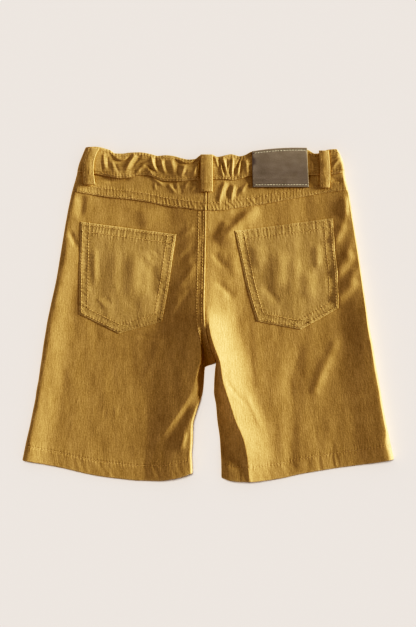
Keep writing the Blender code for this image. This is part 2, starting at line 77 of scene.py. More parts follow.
# Rows down each side of the back: y, side edge x, x where the rise begins,
# then x and height of the inner leg's fold, its foot, the next fold and the
# inner edge.
LEFT = [
    (170, -121.5, -58.5, -10.5, 6.3, -7.5, 6.3, -4.5, 6.3, -2.0, 6.3),
    (150, -129.5, -58.5, -10.5, 6.4, -7.5, 6.4, -4.5, 6.4, -2.0, 6.4),
    (139, -132.0, -58.5, -10.5, 6.6, -7.5, 6.7, -4.5, 6.7, -1.9, 6.7),
    (119, -137.5, -53.5, -10.5, 6.8, -7.5, 6.9, -4.5, 7.0, -1.9, 7.0),
    (94, -142.5, -46.5, -10.5, 7.1, -7.5, 7.2, -4.5, 7.3, -2.1, 7.3),
    (64, -147.5, -46.5, -11.5, 7.7, -8.5, 7.8, -5.5, 7.8, -2.7, 7.8),
    (34, -152.5, -48.5, -12.5, 8.6, -9.5, 8.7, -6.0, 8.8, -3.3, 8.8),
    (9, -158.0, -50.5, -13.5, 11.2, -10.0, 11.6, -6.5, 12.0, -3.9, 12.2),
    (-8, -161.5, -54.5, -11.0, 14.4, -8.5, 14.9, -6.0, 15.4, -3.5, 15.8),
    (-19, -163.3, -60.5, -9.0, 14.8, -6.2, 13.6, -4.4, 13.8, -1.7, 14.6),
    (-31, -165.3, -70.5, -8.0, 14.2, -5.2, 11.2, -2.8, 10.8, 1.0, 11.8),
    (-42, -166.8, -72.5, -7.6, 13.8, -4.6, 8.2, -2.0, 7.0, 5.0, 7.6),
    (-48, -167.7, -73.5, -8.0, 13.6, -5.2, 7.0, -2.5, 4.4, 7.5, 4.2),
    (-53, -168.5, -73.5, -10.0, 13.4, -7.4, 8.0, -5.6, 3.8, -3.8, 2.8),
    (-66, -170.3, -71.5, -13.5, 12.8, -10.0, 10.0, -7.6, 6.0, -4.7, 2.8),
    (-76, -172.2, -69.5, -16.0, 12.6, -11.5, 11.6, -8.4, 6.5, -5.5, 2.8),
    (-84, -173.3, -66.5, -20.5, 12.2, -15.0, 11.2, -9.8, 9.4, -7.3, 2.8),
    (-96, -175.7, -65.5, -28.2, 11.4, -22.0, 10.5, -13.6, 12.0, -11.3, 2.8),
    (-111, -178.7, -64.5, -38.5, 10.0, -31.5, 9.4, -19.4, 12.2, -15.2, 2.8),
    (-126, -182.2, -63.5, -48.0, 7.8, -41.5, 8.2, -23.6, 11.8, -15.5, 3.0),
    (-141, -185.2, -63.5, -54.0, 6.5, -46.5, 7.5, -22.4, 10.8, -16.6, 4.0),
    (-148, -186.7, -64.5, -55.0, 6.4, -47.0, 7.4, -22.0, 10.4, -16.2, 5.0),
    (-171, -191.0, -65.5, -55.0, 6.3, -48.0, 7.2, -22.0, 9.8, -15.8, 5.0),
]
RIGHT = [
    (170, 129.0, 51.5, 5.5, 6.3, 3.0, 6.3, 0.5, 6.3, -2.0, 6.3),
    (150, 135.0, 51.5, 5.5, 6.4, 3.0, 6.4, 0.5, 6.4, -2.0, 6.4),
    (139, 136.5, 51.5, 5.5, 6.6, 3.0, 6.7, 0.5, 6.7, -1.9, 6.7),
    (119, 140.9, 51.5, 5.5, 6.7, 3.0, 6.8, 0.5, 6.9, -1.9, 7.0),
    (94, 144.7, 51.5, 5.5, 6.9, 3.0, 7.0, 0.5, 7.2, -2.1, 7.3),
    (64, 149.5, 44.5, 6.5, 7.2, 3.5, 7.4, 0.5, 7.6, -2.7, 7.8),
    (34, 153.9, 42.5, 4.5, 8.0, 2.2, 8.3, 0.0, 8.5, -3.3, 8.8),
    (9, 157.5, 38.0, 2.5, 11.6, 0.5, 11.9, -1.6, 12.1, -3.9, 12.2),
    (-8, 160.0, 33.0, 0.5, 15.9, -1.0, 16.0, -2.2, 16.0, -3.5, 15.8),
    (-19, 162.1, 35.0, 1.9, 16.8, 0.8, 16.2, -0.4, 15.2, -1.7, 14.6),
    (-31, 164.5, 39.0, 5.3, 17.3, 3.8, 16.0, 2.4, 13.4, 1.0, 11.8),
    (-42, 166.2, 42.0, 9.4, 17.4, 8.0, 14.6, 6.5, 9.8, 5.0, 7.6),
    (-48, 167.2, 44.0, 11.4, 17.4, 10.1, 13.6, 8.8, 7.0, 7.5, 4.2),
    (-53, 167.9, 45.0, 12.2, 17.2, 10.4, 12.6, 8.5, 5.4, 6.8, 2.8),
    (-66, 170.3, 47.0, 14.1, 16.8, 11.4, 11.4, 8.5, 4.6, 5.8, 2.8),
    (-78, 172.5, 50.0, 17.7, 16.2, 13.8, 10.6, 9.6, 4.4, 5.5, 2.8),
    (-91, 174.5, 54.0, 22.0, 15.6, 17.2, 10.0, 12.0, 4.4, 7.5, 2.8),
    (-106, 177.2, 60.0, 26.8, 14.8, 21.2, 9.6, 14.6, 4.4, 8.8, 2.8),
    (-126, 181.5, 65.0, 35.3, 13.2, 28.0, 9.0, 19.4, 4.8, 11.5, 2.9),
    (-141, 184.7, 68.0, 38.5, 11.9, 31.0, 8.6, 22.0, 5.8, 12.3, 4.0),
    (-148, 186.2, 69.0, 39.5, 10.6, 32.0, 8.0, 23.0, 6.0, 12.6, 5.0),
    (-171, 191.0, 71.0, 41.0, 9.6, 33.5, 7.6, 24.5, 6.0, 13.0, 5.0),
]

# Lines across the whole back, as x, y from left to right
BAND_TOP = [
    (-131, 148.0), (-126.5, 158.5), (-122.5, 166.8), (-112.5, 167.2),
    (-98.5, 164.0), (-93.5, 160.8), (-86.5, 160.5), (-78.5, 161.5),
    (-68.5, 161.7), (-58.5, 160.2), (-50.5, 158.2), (-42.5, 158.8),
    (-34.5, 158.0), (-26.5, 155.7), (-19.5, 154.4), (-13.5, 154.9),
    (-8.0, 158.6), (3.5, 159.3), (9.0, 157.2), (17.5, 158.9),
    (22.5, 159.8), (31.5, 157.8), (36.5, 159.0), (43.5, 162.4),
    (71.5, 164.3), (98.5, 164.3), (106.5, 160.4), (110.5, 160.8),
    (119.5, 164.3), (127.5, 164.8), (133.0, 156.5), (136.0, 146.0),
]
BAND_LOW = [
    (-132, 142.0), (-112.5, 139.5), (-98.5, 137.0), (-88.5, 135.6),
    (-80.5, 136.0), (-71.5, 138.3), (-60.5, 138.6), (-50.5, 134.4),
    (-42.5, 132.6), (-28.5, 132.5), (-18.5, 133.4), (-2.5, 134.0),
    (16.5, 134.5), (23.5, 133.8), (31.5, 134.8), (41.5, 137.8),
    (71.5, 138.5), (100.5, 138.5), (121.5, 139.0), (137, 142.0),
]
YOKE_SEAM = [
    (-138, 123.3), (-124.5, 120.5), (-98.5, 116.5), (-78.5, 114.5),
    (-58.5, 111.5), (-43.5, 108.0), (-28.5, 106.0), (-2.0, 103.2),
    (11.5, 103.2), (26.5, 105.5), (56.5, 110.0), (86.5, 115.5),
    (116.5, 121.0), (141, 124.2),
]
HEM = [
    (-191, -145.3), (-148.5, -153.5), (-112.5, -161.5), (-88.5, -164.7),
    (-68.5, -166.5), (-50.5, -166.7), (-36.5, -165.0), (-24.5, -162.0),
    (-15.5, -159.0), (12.5, -163.5), (19.5, -166.0), (27.5, -167.3),
    (43.5, -167.7), (55.5, -166.7), (73.5, -164.0), (91.5, -160.0),
    (127.5, -154.0), (169.5, -148.0), (191.5, -144.0),
]

# Folds: x, y of both ends, half width, height (below 0 for a trough)
BAND_FOLDS = [
    (-106.5, 153, -104.9, 142, 1.9, -1.2),
    (-101.8, 158, -98.5, 140, 2.2, -1.6),
    (-93.5, 150, -90.5, 140, 2.0, -1.3),
    (-70.5, 156, -82.5, 143, 3.6, 1.8),
    (-60.5, 151, -76.0, 147, 2.2, -1.3),
    (-55.5, 156, -49.5, 138, 3.0, 1.9),
    (-50.0, 150, -45.5, 137, 1.8, -1.2),
    (-45.8, 154, -40.3, 138, 2.8, 1.5),
    (-41.5, 150, -37.5, 137, 1.7, -1.1),
    (-36.0, 153, -32.0, 137, 2.6, 1.4),
    (-30.0, 148, -29.5, 137, 1.8, -1.4),
    (-21.5, 148, -26.0, 137, 2.8, 1.4),
    (-17.0, 147, -19.5, 137, 1.8, -1.0),
    (-10.5, 150, -14.0, 138, 2.6, 1.2),
    (8.0, 154, 11.0, 146, 2.2, 1.1),
    (12.5, 147, 16.0, 138, 2.4, 1.3),
    (15.5, 154, 18.5, 145, 2.2, 1.0),
    (20.5, 152, 20.0, 138, 2.0, -1.2),
    (26.0, 154, 25.0, 138, 2.6, 1.5),
    (33.0, 154, 30.0, 139, 2.4, 1.3),
    (103.5, 160, 111.0, 134, 2.0, -1.4),
    (125.5, 152, 131.5, 156, 1.8, -1.3),
    (123.5, 135, 132.0, 142, 1.8, -1.0),
]
STRIP_DIPS = [
    (-99.5, 161, -94.5, 156, 2.2, -2.2),
    (-94.5, 156, -86.0, 154, 2.2, -2.2),
    (-86.0, 154, -78.5, 156, 2.2, -2.0),
    (-36.5, 155, -27.0, 151, 2.0, -1.6),
    (-27.0, 151, -13.5, 151, 2.2, -1.8),
    (38.0, 156, 42.5, 152, 2.6, -1.5),
    (102.0, 161, 109.0, 156, 2.0, -1.4),
]
PANEL_FOLDS = [
    (45.5, 102, 9.5, 77, 5.0, 0.8),
    (-30.5, 74, -48.5, -16, 7.0, -0.6),
    (88.5, -38, 82.5, -150, 8.0, -0.8),
    (126.0, -30, 106.5, -76, 4.5, 0.8),
    (137.5, 98, 125.5, 74, 4.0, 1.1),
    (144.5, 73, 127.5, 42, 4.2, 1.5),
    (150.5, 46, 128.0, 17, 4.5, 1.5),
]

# Rows down a pocket: left x, y, right x, y, and how far its middle hangs
POCKETS = {
    "left": [
        (-128.0, 92.4, -31.9, 79.6, 0.0),
        (-129.0, 62.0, -35.6, 57.0, 3.5),
        (-129.6, 30.0, -40.2, 26.0, 9.0),
        (-129.7, 0.0, -46.6, -8.0, 15.9),
    ],
    "right": [
        (26.0, 83.0, 124.3, 96.0, 0.0),
        (31.4, 58.0, 126.2, 67.0, 3.0),
        (38.4, 26.0, 129.2, 37.0, 8.0),
        (48.0, -7.4, 130.1, 5.8, 15.5),
    ],
}
POCKET_TIP = {"left": 0.48, "right": 0.54}

# Rows down a loop or the patch: y, middle x, half width
LOOPS = {
    "loop_left": [
        (165.5, -114.6, 6.0), (159, -117.6, 5.7), (152, -119.6, 5.6),
        (144, -120.3, 5.6), (136, -119.6, 5.7), (129, -118.8, 5.9),
    ],
    "loop_centre": [
        (159.3, -1.9, 6.1), (150, -1.9, 6.1), (140, -1.9, 6.1),
        (131, -1.9, 6.1), (122, -1.9, 6.1),
    ],
    "loop_right": [
        (163.2, 115.0, 5.0), (155, 115.6, 5.1), (146, 116.3, 5.2),
        (136, 116.4, 5.2), (126, 115.8, 5.1),
    ],
}
PATCH = [
    (164.6, 71.0, 27.5), (150, 71.3, 27.8), (138, 71.8, 28.0),
    (126.6, 72.3, 28.2),
]


def hermite(f, low, high, slope_low, slope_high):
    """The cubic from low to high as f runs 0 to 1, with these slopes at its ends."""
    g = 1 - f
    return (
        g * g * (1 + 2 * f) * low
        + f * f * (1 + 2 * g) * high
        + f * g * (g * slope_low - f * slope_high)
    )


def mild(a, b):
    """The slope at a knot between runs of slopes a and b: none at a peak or a dip."""
    same = a * b > 0
    return np.where(same, 2 * a * b / np.where(same, a + b, 1), 0)


def smooth_line(at, xs, ys):
    """A smooth line through the points (xs rising), which never overshoots them."""
    xs = np.asarray(xs, float)
    ys = np.asarray(ys, float)
    rise = np.diff(ys) / np.diff(xs)
    slope = np.concatenate([rise[:1], mild(rise[:-1], rise[1:]), rise[-1:]])
    at = np.clip(at, xs[0], xs[-1])
    k = np.clip(np.searchsorted(xs, at) - 1, 0, len(rise) - 1)
    run = xs[k + 1] - xs[k]
    f = (at - xs[k]) / run
    return hermite(f, ys[k], ys[k + 1], slope[k] * run, slope[k + 1] * run)


def line(table, x):
    """The y of a line across the back, at each x."""
    xs, ys = zip(*table)
    return smooth_line(x, xs, ys)


def ease(share):
    """0 to 1 with a soft start and end."""
    share = np.clip(share, 0, 1)
    return share * share * (3 - 2 * share)


def crest_in(side, y):
    """How far the ridge along a side lies from the edge: narrow at the right hip."""
    if side == "left":
        return np.full(np.shape(y), 5.5)
    return 2.8 + 4.2 * ease((-114 - y) / 18)


def flat_in(side, y):
    """How far in from a side the flat begins: the right leg rises sooner lower down."""
    if side == "left":
        return np.full(np.shape(y), 28.0)
    return 30 + 24 * ease((-20 - y) / 60)


def knots(side, y):
    """Places and heights of the knots across one side of the back, outer edge first."""
    table = LEFT if side == "left" else RIGHT
    turn = TURN[side]
    columns = np.array(table, float).T
    row = [smooth_line(-y, -columns[0], column) for column in columns[1:]]
    flat = np.full(np.shape(y), FLAT)
    ridge = RIDGE[side] + (RIDGE_WAIST - RIDGE[side]) * ease((y - 15) / 120)
    crest = row[0] + turn * crest_in(side, y)
    places = [row[0], crest, row[0] + turn * flat_in(side, y), row[1]]
    places = np.stack(places + row[2::2])
    return places, np.stack([ridge, ridge, flat, flat] + row[3::2])


def hem_rise(x, y):
    """How much thicker the front layer is at (x, y), where its hem is folded in."""
    return (HEM_WALL - CLOTH) * ease((HEM_DEPTH + 5 - (y - line(HEM, x))) / 4)


def side_height(side, x, y, under):
    """Height of the upper surface: knots joined by smooth cubics, and a rolled edge.

    The roll is a quarter of an ellipse from a foot just over the layer below,
    whose height is given as under. The panel's own side of both ridges stays
    steep up to the crest, by the share CREST of its mean slope.
    """
    turn = TURN[side]
    places, heights = knots(side, y)
    run = np.diff(places, axis=0) * turn
    steep = np.diff(heights, axis=0) / run
    slope = np.concatenate([steep[:1] * 0, mild(steep[:-1], steep[1:]), steep[:1] * 0])
    leave, reach = slope.copy(), slope.copy()
    leave[1] = CREST * steep[1]
    reach[4] = np.maximum(slope[4], INNER_CREST[side] * steep[3])
    foot = under + GAP + FOOT
    share = np.clip((x - places[0]) * turn / run[0], 0, 1)
    z = foot + (heights[1] - foot) * np.sqrt(1 - (1 - share) ** 2)
    for k in range(1, len(run)):
        f = (x - places[k]) * turn / run[k]
        span = hermite(
            np.clip(f, 0, 1),
            heights[k],
            heights[k + 1],
            leave[k] * run[k],
            reach[k + 1] * run[k],
        )
        z = np.where(f > 0, span, z)
    return z


def folds(table, x, y):
    """Soft ridges and troughs along straight lines, fading past their ends."""
    z = np.zeros(np.shape(x))
    for x1, y1, x2, y2, wide, high in table:
        dx, dy = x2 - x1, y2 - y1
        along = ((x - x1) * dx + (y - y1) * dy) / (dx * dx + dy * dy)
        along = np.clip(along, 0, 1)
        away = np.hypot(x - x1 - along * dx, y - y1 - along * dy)
        z = z + high * np.exp(-((away / wide) ** 2))
    return z


def seam_x(y):
    """The x of the centre back seam."""
    columns = np.array(LEFT, float).T
    return smooth_line(-y, -columns[0], columns[-2])


def lie(x, y, under):
    """Height of the upper layer at (x, y), on either side of the centre seam."""
    left = side_height("left", x, y, under)
    right = side_height("right", x, y, under)
    return np.where(x < seam_x(np.maximum(y, 0)), left, right)


def panel_height(side, x, y):
    """Upper surface of a back panel."""
    z = side_height(side, x, y, CLOTH + hem_rise(x, y))
    inside = ease((np.abs(x - knots(side, y)[0][0]) - 2) / 8)
    return z + folds(PANEL_FOLDS, x, y) * inside


def yoke_height(x, y):
    """Upper surface of the yokes."""
    return lie(x, y, CLOTH) + YOKE_LAP


def band_ends(y):
    """The x of both ends of the waistband."""
    return knots("left", y)[0][0], knots("right", y)[0][0]


def band_height(x, y):
    """Upper surface of the back waistband: a bulging band with its gathers."""
    low, top = line(BAND_LOW, x), line(BAND_TOP, x)
    share = np.clip((y - low) / np.maximum(top - low, 8), 0, 1)
    full = BAND_LAP + BAND_BULGE * np.sin(np.pi * share) ** 0.7
    full = full + folds(BAND_FOLDS, x, y) * ease(share / 0.15) * ease((1 - share) / 0.2)
    full = full + folds(STRIP_DIPS, x, y)
    first, last = band_ends(y)
    return lie(x, y, BAND_FRONT) + full * ease(np.minimum(x - first, last - x) / BAND_END)


def cover_height(x, y):
    """Upper surface of band and yoke, with the step between them filled by a slope."""
    low = line(BAND_LOW, x)
    band = band_height(x, np.maximum(y, low + 0.1))
    yoke = yoke_height(x, np.minimum(y, low))
    return np.where(y > low, band, yoke + (band - yoke) * ease((y - low + 8) / 6))


def settle(side, u, v, top, bottom):
    """Places on a side of the back: u counts knots across, v is the share down.

    A point's x depends on its y and the other way round, so a few passes settle
    the two on each other.
    """
    y = line(top, u * 0) * (1 - v) + line(bottom, u * 0) * v
    for _ in range(PASSES):
        places = knots(side, y)[0]
        k = np.clip(u.astype(int), 0, len(places) - 2)[None]
        low = np.take_along_axis(places, k, 0)[0]
        high = np.take_along_axis(places, k + 1, 0)[0]
        x = low + (high - low) * (u - k[0])
        y = line(top, x) * (1 - v) + line(bottom, x) * v
    return x, y


def shifted(table, by):
    """A line across the back, moved along y."""
    return [(x, y + by) for x, y in table]


# ---------------------------------------------------------------- fine relief

# Changes of the solid's surface, in millimetres where they are lengths: how far
# the left leg's inner edge stays level, how far down a hip's change begins, its
# share of the height over a level, the drops of the right leg's outer half and
# of the seat beside the seam, the roping of the hems, and the hem's rise and dip
BRIM = 2.4
HIP_LOW = {"left": 40, "right": 10}
HIP_DROP = {"left": 0.42, "right": 0.5}
HIP_LEVEL = 5.2
LEG_DROP = 0.75
SEAT_DROP = 0.7
ROPE = {"left": 0.16, "right": 0.256}
HEM_LIFT = 0.15
STITCH_DIP = 0.2

# How far in from an outer edge its roll is tighter
SNUG = 3

# Creases: x, y of the start, the middle and the end, running down or to the
# right, then half widths (first the left or lower side's) and height.
BAND_CREASES = [
    (-104, 161, -104.5, 154, -102.5, 143, 1.2, 1.2, 0.5),
    (-101, 158, -100.5, 152, -100, 143, 0.9, 1.1, -0.5),
    (-107.5, 154, -106.5, 148, -106.5, 141, 0.9, 0.9, -0.39),
    (-97, 154, -95.5, 148, -93.5, 140, 1.4, 1.6, 0.39),
    (-93.5, 151, -91.5, 146, -88.5, 140, 1, 1.2, -0.39),
    (-72.5, 160, -77, 154, -85, 140, 2, 1.9, 1.03),
    (-69, 159, -71, 154, -81, 141, 1.4, 1.7, -0.55),
    (-73.5, 149, -65.5, 151.5, -58.5, 153.5, 0.9, 0.9, -0.56),
    (-62.5, 149, -68, 145.5, -73, 138, 2, 2, 0.75),
    (-64, 148.5, -57, 146, -50.5, 139, 1.2, 0.8, -0.84),
    (-62.5, 145, -58.5, 142.5, -54.5, 136, 1.9, 1.4, 0.65),
    (-56.5, 158.5, -55.5, 150, -50.5, 139, 2.3, 1.4, 1.12),
    (-52, 158, -52, 151, -47.5, 141, 1.2, 1.2, -0.84),
    (-47, 156, -46, 148, -42, 138, 1.7, 1.4, 0.88),
    (-43, 155, -42, 148, -39, 139, 1.2, 1.3, -0.59),
    (-37.5, 155, -35.5, 147, -33.5, 136, 2.6, 2.2, 0.68),
    (-31, 150, -30.2, 144, -29.5, 136, 1, 1.2, -0.6),
    (-22.5, 149.5, -25.5, 143, -28, 136, 1.4, 1.4, 0.56),
    (-21, 145, -23, 141, -24.5, 136, 1.1, 1.2, -0.44),
    (-11, 152, -12.5, 146, -16, 136, 1.9, 1.4, 0.75),
    (-8.5, 155, -8.5, 144, -9.5, 132, 1.2, 0.9, -0.75),
    (6.5, 158, 8, 152, 10.5, 144, 1.2, 0.9, 0.61),
    (9.5, 157, 11, 151, 11.5, 146.5, 0.8, 0.8, -0.55),
    (14, 152, 15, 146, 16.8, 136.5, 0.9, 0.9, -0.71),
    (12, 153, 12.8, 145, 15.5, 136, 1.2, 0.9, 0.75),
    (14, 157.5, 16.3, 149, 19.3, 137, 1.2, 1, 0.94),
    (18, 156, 18.7, 151, 19, 146, 0.9, 0.9, -0.56),
    (21.7, 147, 21.7, 142, 21.8, 136, 0.8, 0.8, -0.56),
    (21.5, 150, 20, 146, 19.8, 140, 0.9, 0.8, 0.55),
    (24.5, 157.5, 24, 149, 23, 136, 1.6, 1, 1.03),
    (26.3, 147, 25.7, 142, 25.9, 136, 0.8, 0.8, -0.65),
    (31, 156, 29.5, 150, 28.3, 146, 0.9, 0.9, -0.75),
    (31.5, 153, 30.2, 146, 28.4, 137, 1.2, 0.9, 0.75),
    (34, 156, 32.5, 148, 31, 137, 0.9, 1.2, -0.75),
    (37, 155, 38, 148, 39.5, 134, 2.3, 1.7, 0.75),
    (102.5, 154, 104, 146, 104.5, 132, 1.4, 1.2, 0.55),
    (122, 150.5, 127.5, 154, 133.5, 158, 0.9, 0.9, -0.65),
    (124, 155, 128, 157, 132, 160, 1.6, 1.2, 0.44),
    (-106, 139.5, -90, 138.5, -76, 140.5, 2.3, 3.9, 0.61),
    (-25, 153, -25, 146, -26, 138, 4.0, 11.0, 0.77),
    (121.5, 143, 127, 151, 133, 159, 1.8, 2.4, 0.8),
    (122, 133, 128.5, 138, 135, 143, 2.0, 2.0, 0.7),
]
# Steps at the lower edge of the bulging top strip
BAND_STEPS = [
    (-99, 162, -87.5, 153, -76, 161, 2, 3.5, 1.12),
    (-35.5, 157.5, -21.5, 150.3, -9, 157.5, 2, 3, 1.12),
    (101, 161, 104.5, 156, 109, 157, 1.5, 2.5, 0.63),
]
YOKE_CREASES = [
    (-109, 134, -90.5, 133.5, -75.5, 137.5, 2.5, 2.5, -0.94),
    (-50, 134, -40, 132, -28, 132, 1.4, 1.4, -0.5),
    (-58, 138, -51.5, 133, -43.5, 127, 1.7, 1.5, 0.64),
    (-53.5, 133, -53.5, 128, -52.5, 123, 1.2, 1, 0.4),
    (-40.5, 130, -37, 126, -31.5, 119, 1.9, 1.4, 0.59),
    (-35.5, 131, -34.5, 127, -33, 124, 1.2, 1.2, -0.35),
    (-32, 133, -31.5, 129, -31, 124, 1.4, 1.4, 0.35),
    (-18.5, 133.5, -21.5, 130, -24, 125, 1.5, 1.4, 0.55),
    (-8.5, 130, -14, 127, -19, 121, 1.5, 1.5, 0.55),
    (-29, 130, -27.5, 124, -28, 118, 1.7, 1.9, -0.45),
    (18.5, 133, 13.5, 124, 9.5, 106, 2.2, 2.2, 1.02),
    (23.5, 130, 18.5, 123, 19, 113, 1.5, 1.5, -0.77),
    (26.5, 130, 24, 122, 22.5, 111, 1.7, 1.4, 0.77),
    (31.5, 128, 28.5, 122, 27.5, 116, 1.4, 1.5, -0.55),
    (40.5, 132, 36, 127, 32, 119, 2, 1.7, 0.68),
    (122, 134, 128, 133.5, 134, 131, 2.5, 3, -0.68),
]
SEAT_CREASES = [
    (-125.5, 122, -126.5, 109, -129, 94, 7.0, 3.0, -1.0),
    (-139.5, 84, -135.5, 75, -131, 66, 1.6, 2.4, -0.9),
    (-144, 78, -141, 64, -137, 44, 5.0, 7.0, 0.5),
    (-65, 107, -64, 96, -59, 85, 7.0, 10.0, 0.8),
    (-46.5, -12, -55.5, -44, -68.5, -74, 3.5, 5.0, 0.35),
    (-78.5, -20, -58.5, -23, -36.5, -28, 1.0, 1.2, -0.35),
    (-12, 86, -22, 82, -34, 71, 3.0, 3.0, 0.5),
    (-11, 70, -22, 60, -32, 48, 2.5, 3.5, -0.6),
    (-10, 52, -22, 38, -34, 20, 3.0, 5.0, 0.7),
    (-14, 26, -26, 12, -38, -12, 2.5, 3.5, -0.6),
    (49, 108, 28, 88.5, 10, 66, 4.5, 10.0, 1.9),
    (18, 95, 14.5, 85, 8, 71, 3.5, 6.0, 1.0),
    (139, 120, 138, 108, 136.5, 96, 7.0, 2.5, 1.5),
    (119, -36, 111.5, -57, 105.5, -78, 5.5, 9.0, 0.6),
    (88.5, -38, 82.5, -63, 80.5, -92, 8.0, 5.5, -0.65),
    (27.5, 64, 24.5, 50, 29.5, 34, 5.0, 6.0, 0.6),
    (6.5, 34, 16.5, 24, 26.5, 14, 3.0, 4.0, -0.8),
    (4, 64, 10, 53, 22, 45, 2.5, 4.0, -0.6),
    (16.5, -62, 24.5, -76, 42.5, -96, 1.4, 2.0, -0.35),
    (35, -74, 44, -96, 58, -124, 2.0, 3.0, 0.4),
    (-92.5, -92, -92.5, -97, -94, -105, 1.0, 1.2, 0.35),
    (-103.5, -94, -103.5, -100, -104, -106, 1.0, 1.0, -0.3),
    (135.5, 92, 131, 80, 124.5, 68, 5.0, 4.0, 0.9),
    (144.5, 64, 137, 50, 126.5, 34, 6.0, 4.5, 1.3),
    (147.5, 37, 138, 22, 124.5, 8, 6.0, 4.5, 1.4),
    (-23, -117, -25.5, -127, -28.5, -137, 4.0, 2.2, 0.9),
]
POCKET_CREASES = {
    "left": [
        (-72.5, 66, -75.5, 39, -79.5, 11, 8.0, 9.0, 1.12),
        (-90, 70, -93, 40, -92, 10, 7.0, 6.0, 0.56),
        (-56.5, 52, -57, 34, -58.5, 14, 5.0, 5.0, -0.56),
        (-70, 62, -61, 55, -54, 47, 3.0, 3.0, 0.28),
        (-58, 66, -52, 61, -48, 56, 2.0, 2.5, -0.24),
        (-56, 38, -50, 34, -45, 30, 1.5, 1.6, -0.21),
        (-111.5, 16, -106.5, 11, -101.5, 3, 2.0, 2.2, 0.35),
        (-104, 18, -100.5, 14, -97.5, 8, 2.4, 2.2, -0.28),
        (-113, 68, -114, 49, -112.5, 24, 3.0, 3.5, 0.56),
    ],
    "right": [
        (71, 66, 70.5, 44, 66, 22, 9.0, 8.0, 0.98),
        (84, 60, 86, 38, 84, 14, 6.0, 7.0, 0.7),
        (47, 70, 48, 58, 52, 44, 5.0, 8.0, 0.7),
        (108, 72, 109, 58, 108, 44, 5.0, 4.0, 0.7),
        (97, 46, 99, 29, 99, 12, 6.0, 8.0, 0.84),
        (56, 30, 62, 20, 72, 10, 4.0, 4.0, -0.56),
    ],
}


def creases(table, x, y, step=False):
    """Soft ridges and troughs along arcs, which taper towards their ends.

    A point's height falls with the square of its distance from the arc. A step
    is up on the arc's upper or right side and down on the other.
    """
    z = np.zeros(np.shape(x))
    t = np.linspace(0, 1, 13)
    for x1, y1, x2, y2, x3, y3, less, more, high in table:
        bend_x, bend_y = 2 * x2 - (x1 + x3) / 2, 2 * y2 - (y1 + y3) / 2
        px = (1 - t) ** 2 * x1 + 2 * t * (1 - t) * bend_x + t * t * x3
        py = (1 - t) ** 2 * y1 + 2 * t * (1 - t) * bend_y + t * t * y3
        reach = 3 * max(less, more)
        near = (x > px.min() - reach) & (x < px.max() + reach)
        near &= (y > py.min() - reach) & (y < py.max() + reach)
        if not near.any():
            continue
        qx, qy = x[near][:, None], y[near][:, None]
        dx, dy = np.diff(px), np.diff(py)
        along = ((qx - px[:-1]) * dx + (qy - py[:-1]) * dy) / (dx * dx + dy * dy)
        along = np.clip(along, 0, 1)
        away_x, away_y = qx - px[:-1] - along * dx, qy - py[:-1] - along * dy
        away = np.hypot(away_x, away_y)
        k = np.argmin(away, axis=1)
        pick = np.arange(len(k)), k
        share = (k + along[pick]) / len(dx)
        side = np.sign(dx[k] * away_y[pick] - dy[k] * away_x[pick])
        wide = np.where(side > 0, more, less)
        shape = np.exp(-((away[pick] / wide) ** 2))
        if step:
            shape = np.tanh(side * away[pick] / 0.7) * np.exp(-away[pick] / wide)
        taper = ease(share / 0.3) * ease((1 - share) / 0.3)
        z[near] += high * taper * shape
    return z


def wave(t):
    """A soft, uneven run of bumps, 1 apart: two waves of unlike length."""
    return 0.65 * np.sin(2 * np.pi * t) + 0.35 * np.sin(2 * np.pi * t * 1.37 + 1.9)


def mottle(x, y, wide, tall, seed):
    """Smooth chance heights from -1 to 1 with cells of this width and height.

    Chance numbers at the corners of a lattice are blended with soft steps.
    """
    source = np.random.default_rng(seed)
    values = source.uniform(-1, 1, (64, 64))
    a, b = x / wide + 100.3, y / tall + 100.7
    i, j = np.floor(a).astype(int), np.floor(b).astype(int)
    f, g = ease(a - i), ease(b - j)
    i, j = i % 63, j % 63
    low = values[j, i] * (1 - f) + values[j, i + 1] * f
    high = values[j + 1, i] * (1 - f) + values[j + 1, i + 1] * f
    return low * (1 - g) + high * g


def drape(x, y):
    """Slight unevenness of cloth that lies flat: long upright ripples and mottle."""
    lean = x + 0.05 * y
    z = 0.3 * mottle(lean, y, 15, 40, 3) + 0.15 * mottle(lean, y, 7, 24, 4)
    return z + 0.05 * mottle(lean, y, 3.2, 11, 5)


def snug(side, x, y):
    """Places moved inwards near the outer edge, by up to their own distance from it.

    The cloth's roll there is tighter than the solid's, least so low on the right.
    """
    edge = knots(side, y)[0][0]
    more = 1.0 if side == "left" else ease((y + 25) / 40)
    away = x - edge
    return edge + away * (1 + more * np.exp(-((away / SNUG) ** 2)))


def brim(x, places, heights, z):
    """The left leg's inner edge: level from its crest, then a quarter round at its end."""
    inner = np.clip((places[-1] - x) / BRIM, 0, 1)
    level = heights[-1] + (heights[-2] - heights[-1]) * np.sqrt(1 - (1 - inner) ** 2)
    return np.where(x > places[-2], np.maximum(z, level), z)


def hem_corner(x, up, z):
    """The right leg's hem, filled up to a gentle slope beside its inner corner."""
    level = 5.2 + 3.0 * ease((x - 11) / 11) + 0.07 * np.maximum(x - 22, 0)
    flat = ease((HEM_DEPTH + 22 - up - 0.5 * (x - 12)) / 24)
    return np.where((x > 11) & (x < 43), z + np.maximum(level - z, 0) * flat, z)


